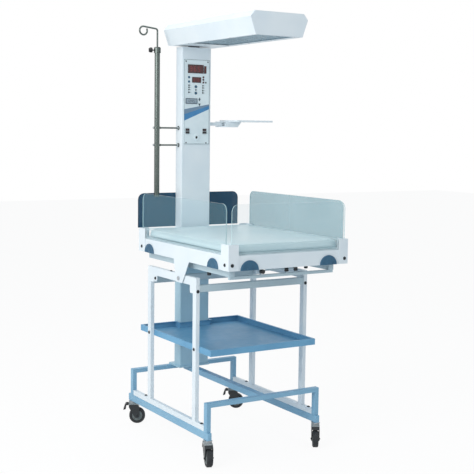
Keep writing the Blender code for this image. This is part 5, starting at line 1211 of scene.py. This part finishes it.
CASTER_TURNS = {"front_left": 198, "front_right": 213, "rear_left": 116, "rear_right": 121}
CASTER_X = 0.2779
CASTER_FRONT_Y = -0.3579
CASTER_REAR_Y = 0.3622
CASTER_TRAIL = 0.021
WHEEL_RADIUS = 0.0375
HUB_FACE = 0.009
FORK_HALF_WIDTH = 0.018
# The brake pedal's hinge, ahead of the swivel and under the fork's top, in the caster's own frame
PEDAL_HINGE = (-23.3 * MM, 0.0, 93.1 * MM)
RAIL_BOTTOM = 108.6 * MM


def caster_places():
    """Each caster's placing: its name, and the turn and place of its own frame, which trails along X."""
    for name, turn in CASTER_TURNS.items():
        x = -CASTER_X if "left" in name else CASTER_X
        y = CASTER_FRONT_Y if "front" in name else CASTER_REAR_Y
        yield name, Matrix.Translation(at(x, y, 0.0)) @ turned(90 - turn)


def model_hub_cover():
    """The wheel's hub cover: a stepped cap with five ribs, facing up at the origin."""
    cover = model_disc("hub_model", 1.4, 24.5, 2.8, 40)
    terrace(cover, upward, (1.2, 0.8), (2.2, 0.0), (0.8, -1.8), (9.0, 0.0), (1.4, 2.6))
    parts = [cover]
    for step in range(5):
        rib = terrace(small_block("rib", (7.5, -1.4, 0.8), (21.5, 1.4, 3.2)), upward, (0.6, 0.5))
        rib.data.transform(turned(72 * step))
        parts.append(rib)
    return smooth(weld("hub_model", parts), 35)


def model_tyre():
    """The tyre's tread band: a rounded band with two running grooves, round the Y axis at the origin."""
    outer = WHEEL_RADIUS + 0.4 * MM
    band = ring("tyre_model", ORIGIN, outer, outer - 9.0 * MM, 19.0 * MM, "Y", 64)
    for y in (-5.4 * MM, -3.8 * MM, 3.8 * MM, 5.4 * MM):
        pick(band, "FACE", anything)
        bpy.ops.mesh.bisect(plane_co=(0.0, y, 0.0), plane_no=AWAY)
        close(band)
    for _, sign in SIDES:
        groove = sign * 4.6 * MM
        terrace(
            band,
            lambda middle, normal: abs(middle.y - groove) < 0.5 * MM
            and Vector((middle.x, 0.0, middle.z)).length > 0.9 * WHEEL_RADIUS,
            (0.2, -1.1),
        )
    return smooth(ease(band, 1.0 * MM, 3, 60), 40)


def model_pedal_tread():
    """The brake pedal's five grip ribs and its bent toe, measured from the pedal's hinge."""
    parts = []
    for step in range(5):
        start = step * 5.4 - 11.8
        grip = small_block("grip", (-6.0, start, 3.0), (2.0, start + 2.0, 5.0))
        parts.append(terrace(grip, upward, (0.5, 0.4)))
    toe = small_block("toe", (-22.0, -15.6, -28.0), (-7.0, 15.6, -2.0))
    nudge(toe, lambda place: place.z > -15.0 * MM and place.x < -14.0 * MM, (8.0 * MM, 0.0, 0.0))
    lower_front = (-3.0 * MM, 0.0, 5.0 * MM)
    nudge(toe, lambda place: place.z < -15.0 * MM and place.x > -14.0 * MM, lower_front)
    parts.append(ease(toe, 2.4 * MM, 3, 40))
    return smooth(weld("pedal_model", parts), 40)


def build_casters():
    """The casters' hub covers, tread bands, axle nuts and ribbed brake pedals."""
    hub = model_hub_cover()
    tyre = model_tyre()
    nut = model_dome_nut()
    tread = model_pedal_tread()
    for name, stand in caster_places():
        axle = stand @ Matrix.Translation((CASTER_TRAIL, 0.0, WHEEL_RADIUS))
        covers = []
        nuts = []
        for _, sign in SIDES:
            outward = (0.0, sign, 0.0)
            covers.append(copied(hub, "cover", axle @ facing((0.0, sign * HUB_FACE, 0.0), outward)))
            nuts.append(copied(nut, "nut", axle @ facing((0.0, sign * FORK_HALF_WIDTH, 0.0), outward)))
        fit(weld("hub_covers_" + name, covers), HUB_PLASTIC, "caster_wheel_" + name)
        fit(weld("axle_nuts_" + name, nuts), DARK_STEEL, "caster_fork_" + name)
        fit(copied(tyre, "tread_" + name, axle), TYRE, "caster_wheel_" + name)
        piece = copied(tread, "pedal_tread_" + name, stand @ Matrix.Translation(PEDAL_HINGE))
        fit(piece, BLACK_PLASTIC, "brake_pedal_" + name)
    scrap(hub, tyre, nut, tread)


def build_caster_plates():
    """A square plate between each caster and its rail end."""
    for name, stand in caster_places():
        x, y, _ = stand.to_translation()
        low = (x - 15.0 * MM, y - 17.0 * MM, RAIL_BOTTOM - 3.0 * MM)
        plate = block("caster_plate_" + name, low, (x + 15.0 * MM, y + 17.0 * MM, RAIL_BOTTOM))
        round_edges(plate, "Z", 4.0 * MM, 4)
        fit(smooth(ease(plate, 0.5 * MM)), ZINC, STAND_BODY)


# Canopy and heater

COIL_TURNS = 60
COIL_STEPS = 16
COIL_RADIUS = 8.5 * MM
COIL_WIRE_RADIUS = 0.75 * MM
COIL_MARGIN = 30.0 * MM
CANOPY_FRONT = -0.4323
CANOPY_REAR = 0.3263
HEM_PLACE = 0.1150
HEM_DROP = 1.4 * MM
HEM_RISE = 0.6 * MM
VENTS = 9
VENT_PITCH = 0.020


def build_heater_coil():
    """The heating wire wound round the ceramic rod."""
    low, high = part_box("heating_element")
    middle_x, middle_z = (low.x + high.x) / 2, (low.z + high.z) / 2
    bpy.ops.object.select_all(action="DESELECT")
    start = (middle_x + COIL_RADIUS, low.y + COIL_MARGIN, middle_z)
    bpy.ops.mesh.primitive_circle_add(vertices=6, radius=COIL_WIRE_RADIUS, location=start)
    coil = settle("heater_coil")
    pick(coil, "VERT", anything)
    bpy.ops.mesh.edge_face_add()
    close(coil)
    pivot = Vector((middle_x, 0.0, middle_z))
    coil.data.transform(Matrix.Translation(-pivot))
    steps = COIL_STEPS * COIL_TURNS
    take(
        coil, "SCREW", axis="Y", angle=2 * math.pi * COIL_TURNS, steps=steps, render_steps=steps,
        screw_offset=high.y - low.y - 2 * COIL_MARGIN, use_smooth_shade=True, use_merge_vertices=False,
    )
    coil.data.transform(Matrix.Translation(pivot))
    pick(coil, "FACE", anything)
    bpy.ops.mesh.normals_make_consistent(inside=False)
    fit(close(coil), HEATER_WIRE, "canopy")


def build_canopy_trim():
    """The canopy's hems along the opening and its row of rear vent slots."""
    low, high = CANOPY_LOW - HEM_DROP, CANOPY_LOW + HEM_RISE
    hems = {}
    for side, sign in SIDES:
        hems[side] = (
            at(sign * HEM_PLACE - 1.2 * MM, CANOPY_FRONT + 2.0 * MM, low),
            at(sign * HEM_PLACE + 1.2 * MM, 0.324, high),
        )
    hems["front"] = (
        at(-0.1145, CANOPY_FRONT + 0.4 * MM, low),
        at(0.1145, CANOPY_FRONT + 2.8 * MM, high),
    )
    for name, ends in hems.items():
        hem = ease(block("canopy_hem_" + name, *ends), 0.7 * MM, 3)
        fit(smooth(hem, 40), WHITE_COAT, "canopy")
    slots = []
    for step in range(VENTS):
        x = (step - VENTS // 2) * VENT_PITCH
        start = at(x - 5.0 * MM, CANOPY_REAR - 0.3 * MM, 1.828)
        louvre = block("louvre", start, at(x + 5.0 * MM, CANOPY_REAR + 2.6 * MM, 1.862))
        nudge(
            louvre, lambda place: place.z > 1.85 and place.y > MIDDLE_Y + CANOPY_REAR,
            (0.0, -2.2 * MM, 0.0),
        )
        slots.append(ease(louvre, 0.9 * MM, 3, 25))
    fit(smooth(weld("canopy_vents", slots), 40), WHITE_COAT, "canopy")


# Column, pole and their fittings

REAR_COVER_HALF_WIDTH = 0.0735
REAR_COVER_BOTTOM = 0.450
REAR_COVER_TOP = 1.760
LOUVRE_BANKS = (0.560, 1.560)
LOUVRES_PER_BANK = 8
LOUVRE_PITCH = 0.013
LOUVRE_HALF_WIDTH = 0.040
PIN_PLACES = ((-0.0065, 0.3975), (0.0065, 0.3975), (0.0, 0.4030))
HOLDER_HEIGHTS = {"upper": 1.4094, "lower": 1.3298}
HOLDER_NUT_X = POLE_X - 0.0180
ROSE_X = -0.0833
POLE_LIP_HEIGHT = 1.7772
KNOB_CAP_X = POLE_X - 0.0405
KNOB_HEIGHT = 1.764


def build_rear_cover():
    """The column's rear cover: a screwed sheet with rounded corners and two banks of louvres."""
    start = at(-REAR_COVER_HALF_WIDTH, COLUMN_REAR - SINK, REAR_COVER_BOTTOM)
    end = at(REAR_COVER_HALF_WIDTH, COLUMN_REAR + 1.3 * MM, REAR_COVER_TOP)
    cover = round_edges(block("rear_cover", start, end), "Y", 6.0 * MM, 5)
    terrace(cover, rearward, (0.6, 0.3))
    fit(smooth(cover), WHITE_COAT, STAND_BODY)
    louvres = []
    for bank in LOUVRE_BANKS:
        for step in range(LOUVRES_PER_BANK):
            z = bank + step * LOUVRE_PITCH
            start = at(-LOUVRE_HALF_WIDTH, COLUMN_REAR + 1.0 * MM, z)
            end = at(LOUVRE_HALF_WIDTH, COLUMN_REAR + 4.6 * MM, z + 6.0 * MM)
            louvre = block("louvre", start, end)
            outer = MIDDLE_Y + COLUMN_REAR + 2.0 * MM
            nudge(louvre, lambda place: place.z > z + 3.0 * MM and place.y > outer, (0.0, -3.2 * MM, 0.0))
            louvres.append(ease(louvre, 0.6 * MM, 2, 25))
    fit(smooth(weld("rear_louvres", louvres), 40), WHITE_COAT, STAND_BODY)


def build_inlet_pins():
    """The power inlet's three pins on their base."""
    start = at(-0.0118, COLUMN_REAR - 8.0 * MM, INLET_HEIGHT - 8.0 * MM)
    base = block("inlet_pins_base", start, at(0.0118, COLUMN_REAR - 7.0 * MM, INLET_HEIGHT + 8.0 * MM))
    parts = [terrace(base, rearward, (0.8, 0.3))]
    for x, z in PIN_PLACES:
        start = at(x - 1.0 * MM, COLUMN_REAR - 7.2 * MM, z - 2.0 * MM)
        pin = block("pin", start, at(x + 1.0 * MM, COLUMN_REAR + 2.0 * MM, z + 2.0 * MM))
        parts.append(ease(pin, 0.4 * MM))
    fit(weld("inlet_pins", parts), ZINC, STAND_BODY)


def build_pole_fittings():
    """The pole's clamp nuts, the roses at its holders' feet, its top lip and the knob's cap."""
    nut = model_dome_nut()
    for name, height in HOLDER_HEIGHTS.items():
        placing = facing(at(HOLDER_NUT_X, POLE_Y, height), (-1.0, 0.0, 0.0))
        fit(copied(nut, "holder_nut_" + name, placing), ZINC, STAND_BODY)
        place = at(ROSE_X, POLE_Y, height)
        rose = ring("holder_rose_" + name, place, 6.2 * MM, 4.2 * MM, 2.2 * MM, "X")
        fit(smooth(ease(rose, 0.6 * MM, 2, 50), 40), WHITE_COAT, STAND_BODY)
    scrap(nut)
    lip = ring("pole_top_lip", at(POLE_X, POLE_Y, POLE_LIP_HEIGHT), 13.0 * MM, 5.2 * MM, 3.6 * MM)
    fit(smooth(ease(lip, 1.2 * MM, 3, 50), 40), BLACK_PLASTIC, STAND_BODY)
    cap = disc("knob_cap", at(KNOB_CAP_X, POLE_Y, KNOB_HEIGHT), 6.2 * MM, 1.8 * MM, "X", 32)
    terrace(cap, lambda middle, normal: normal.x < -0.9, (0.8, 0.6), (1.6, 0.3))
    fit(smooth(cap, 40), BLACK_PLASTIC, "pole_knob")


# Under the cot, and the ends of the rails

LUG_PLACES = (-0.108, 0.018, 0.064)
LUG_FRONT = -0.4862
LUG_REAR = -0.4792
LUG_BOTTOM = 0.8110
LUG_TOP = 0.8400
SHAFT_MIDDLE = (-0.022, -0.4826, 0.8310)
SHAFT_LENGTH = 0.182
GRIP_MIDDLE = (-0.108, -0.4952, 0.8285)
CAM_Y = -0.4850
CAM_HEIGHT = 0.8305
TAB_FRONT = 0.1010
TAB_REAR = 0.1360
TAB_BOTTOM = 0.7190
TAB_TOP = 0.7480
BUFFER_X = 0.2475
BUFFER_Y = -0.303
BUFFER_HEIGHT = 0.8060
BASE_RAIL_X = 0.2779
BASE_RAIL_FRONT = -0.3739
BASE_RAIL_REAR = 0.3882
BASE_RAIL_CAP = (0.1094, 0.1400)
UNDER_RAIL_X = 0.2475
UNDER_RAIL_FRONT = -0.488
UNDER_RAIL_CAP = (0.8140, 0.8438)


def build_tilt_lock():
    """The cot's tilt lock: lugs on the front bar that carry a round grip, two cams and the cross shaft."""
    parts = []
    for x in LUG_PLACES:
        start = at(x - 3.0 * MM, LUG_FRONT, LUG_BOTTOM)
        lug = block("lug", start, at(x + 3.0 * MM, LUG_REAR, LUG_TOP))
        parts.append(round_edges(lug, "X", 3.2 * MM, 4, lambda middle: middle.z > LUG_TOP - 0.01))
    shaft = disc("shaft", at(*SHAFT_MIDDLE), 2.6 * MM, SHAFT_LENGTH, "X", 20)
    parts.append(ease(shaft, 0.6 * MM, 2, 50))
    fit(smooth(weld("tilt_lock_lugs", parts), 40), UNDER_COT_PAINTED_SHADE_COAT, BED_BODY)
    grip = disc("tilt_grip", at(*GRIP_MIDDLE), 9.0 * MM, 18.0 * MM, "Y", 24)
    terrace(grip, frontward, (1.5, 1.2), (2.4, -0.6))
    fit(smooth(ease(grip, 0.6 * MM, 2, 40), 40), BLACK_PLASTIC, BED_BODY)
    cams = []
    for x in LUG_PLACES[1:]:
        cam = disc("cam", at(x, CAM_Y, CAM_HEIGHT), 6.4 * MM, 15.0 * MM, "X", 28)
        nudge(cam, lambda place: place.z < CAM_HEIGHT - 3.5 * MM, (0.0, -3.0 * MM, -4.0 * MM))
        cams.append(ease(cam, 0.8 * MM, 3, 50))
    fit(smooth(weld("tilt_cams", cams), 40), BLACK_PLASTIC, BED_BODY)


def build_gusset_tabs():
    """A rounded tab beside each side frame's rear gusset, which takes the frame's bolt."""
    for side, sign in SIDES:
        low_x, high_x = sorted(sign * (SIDE_FRAME_FACE - depth) for depth in (SINK, 4.0 * MM))
        start = at(low_x, TAB_FRONT, TAB_BOTTOM)
        tab = block("gusset_tab_" + side, start, at(high_x, TAB_REAR, TAB_TOP))
        near = MIDDLE_Y + TAB_FRONT + 0.01
        round_edges(
            tab, "X", 10.0 * MM, 6, lambda middle: middle.z < TAB_BOTTOM + 0.01 and middle.y < near
        )
        fit(smooth(ease(tab, 0.6 * MM, 2, 50)), WHITE_COAT, STAND_BODY)


def build_rail_buffers():
    """Two round rubber buffers under the rails that carry the cot."""
    buffers = []
    for _, sign in SIDES:
        place = at(sign * BUFFER_X, BUFFER_Y, BUFFER_HEIGHT)
        buffer = disc("buffer", place, 8.6 * MM, 15.0 * MM, "Z", 28)
        buffers.append(terrace(buffer, downward, (2.2, 1.4), (2.4, 0.0), (0.5, -1.6)))
    piece = ease(weld("rail_buffers", buffers), 0.5 * MM, 2, 40)
    fit(smooth(piece, 40), TYRE, BED_BODY)


def build_end_caps():
    """Plugs in the open ends of the base rails and of the rails under the cot."""
    caps = []
    low, high = BASE_RAIL_CAP
    for _, sign in SIDES:
        x = sign * BASE_RAIL_X
        for near, far in (
            (BASE_RAIL_FRONT - 1.4 * MM, BASE_RAIL_FRONT + SINK),
            (BASE_RAIL_REAR - SINK, BASE_RAIL_REAR + 1.4 * MM),
        ):
            cap = block("cap", at(x - 8.6 * MM, near, low), at(x + 8.6 * MM, far, high))
            caps.append(ease(cap, 0.8 * MM))
    fit(smooth(weld("base_rail_caps", caps), 40), BLUE_COAT, STAND_BODY)
    caps = []
    low, high = UNDER_RAIL_CAP
    for _, sign in SIDES:
        x = sign * UNDER_RAIL_X
        start = at(x - 11.6 * MM, UNDER_RAIL_FRONT - 1.5 * MM, low)
        cap = block("cap", start, at(x + 11.6 * MM, UNDER_RAIL_FRONT + SINK, high))
        caps.append(terrace(cap, frontward, (1.6, 0.8)))
    fit(smooth(weld("under_rail_caps", caps), 40), UNDER_COT_PAINTED_SHADE_COAT, BED_BODY)


place_camera()
build_stage()
dress_nodes()
build_mattress()
build_bumpers()
fasten()
build_fascia()
build_casters()
build_caster_plates()
build_heater_coil()
build_canopy_trim()
build_rear_cover()
build_inlet_pins()
build_pole_fittings()
build_tilt_lock()
build_gusset_tabs()
build_rail_buffers()
build_end_caps()
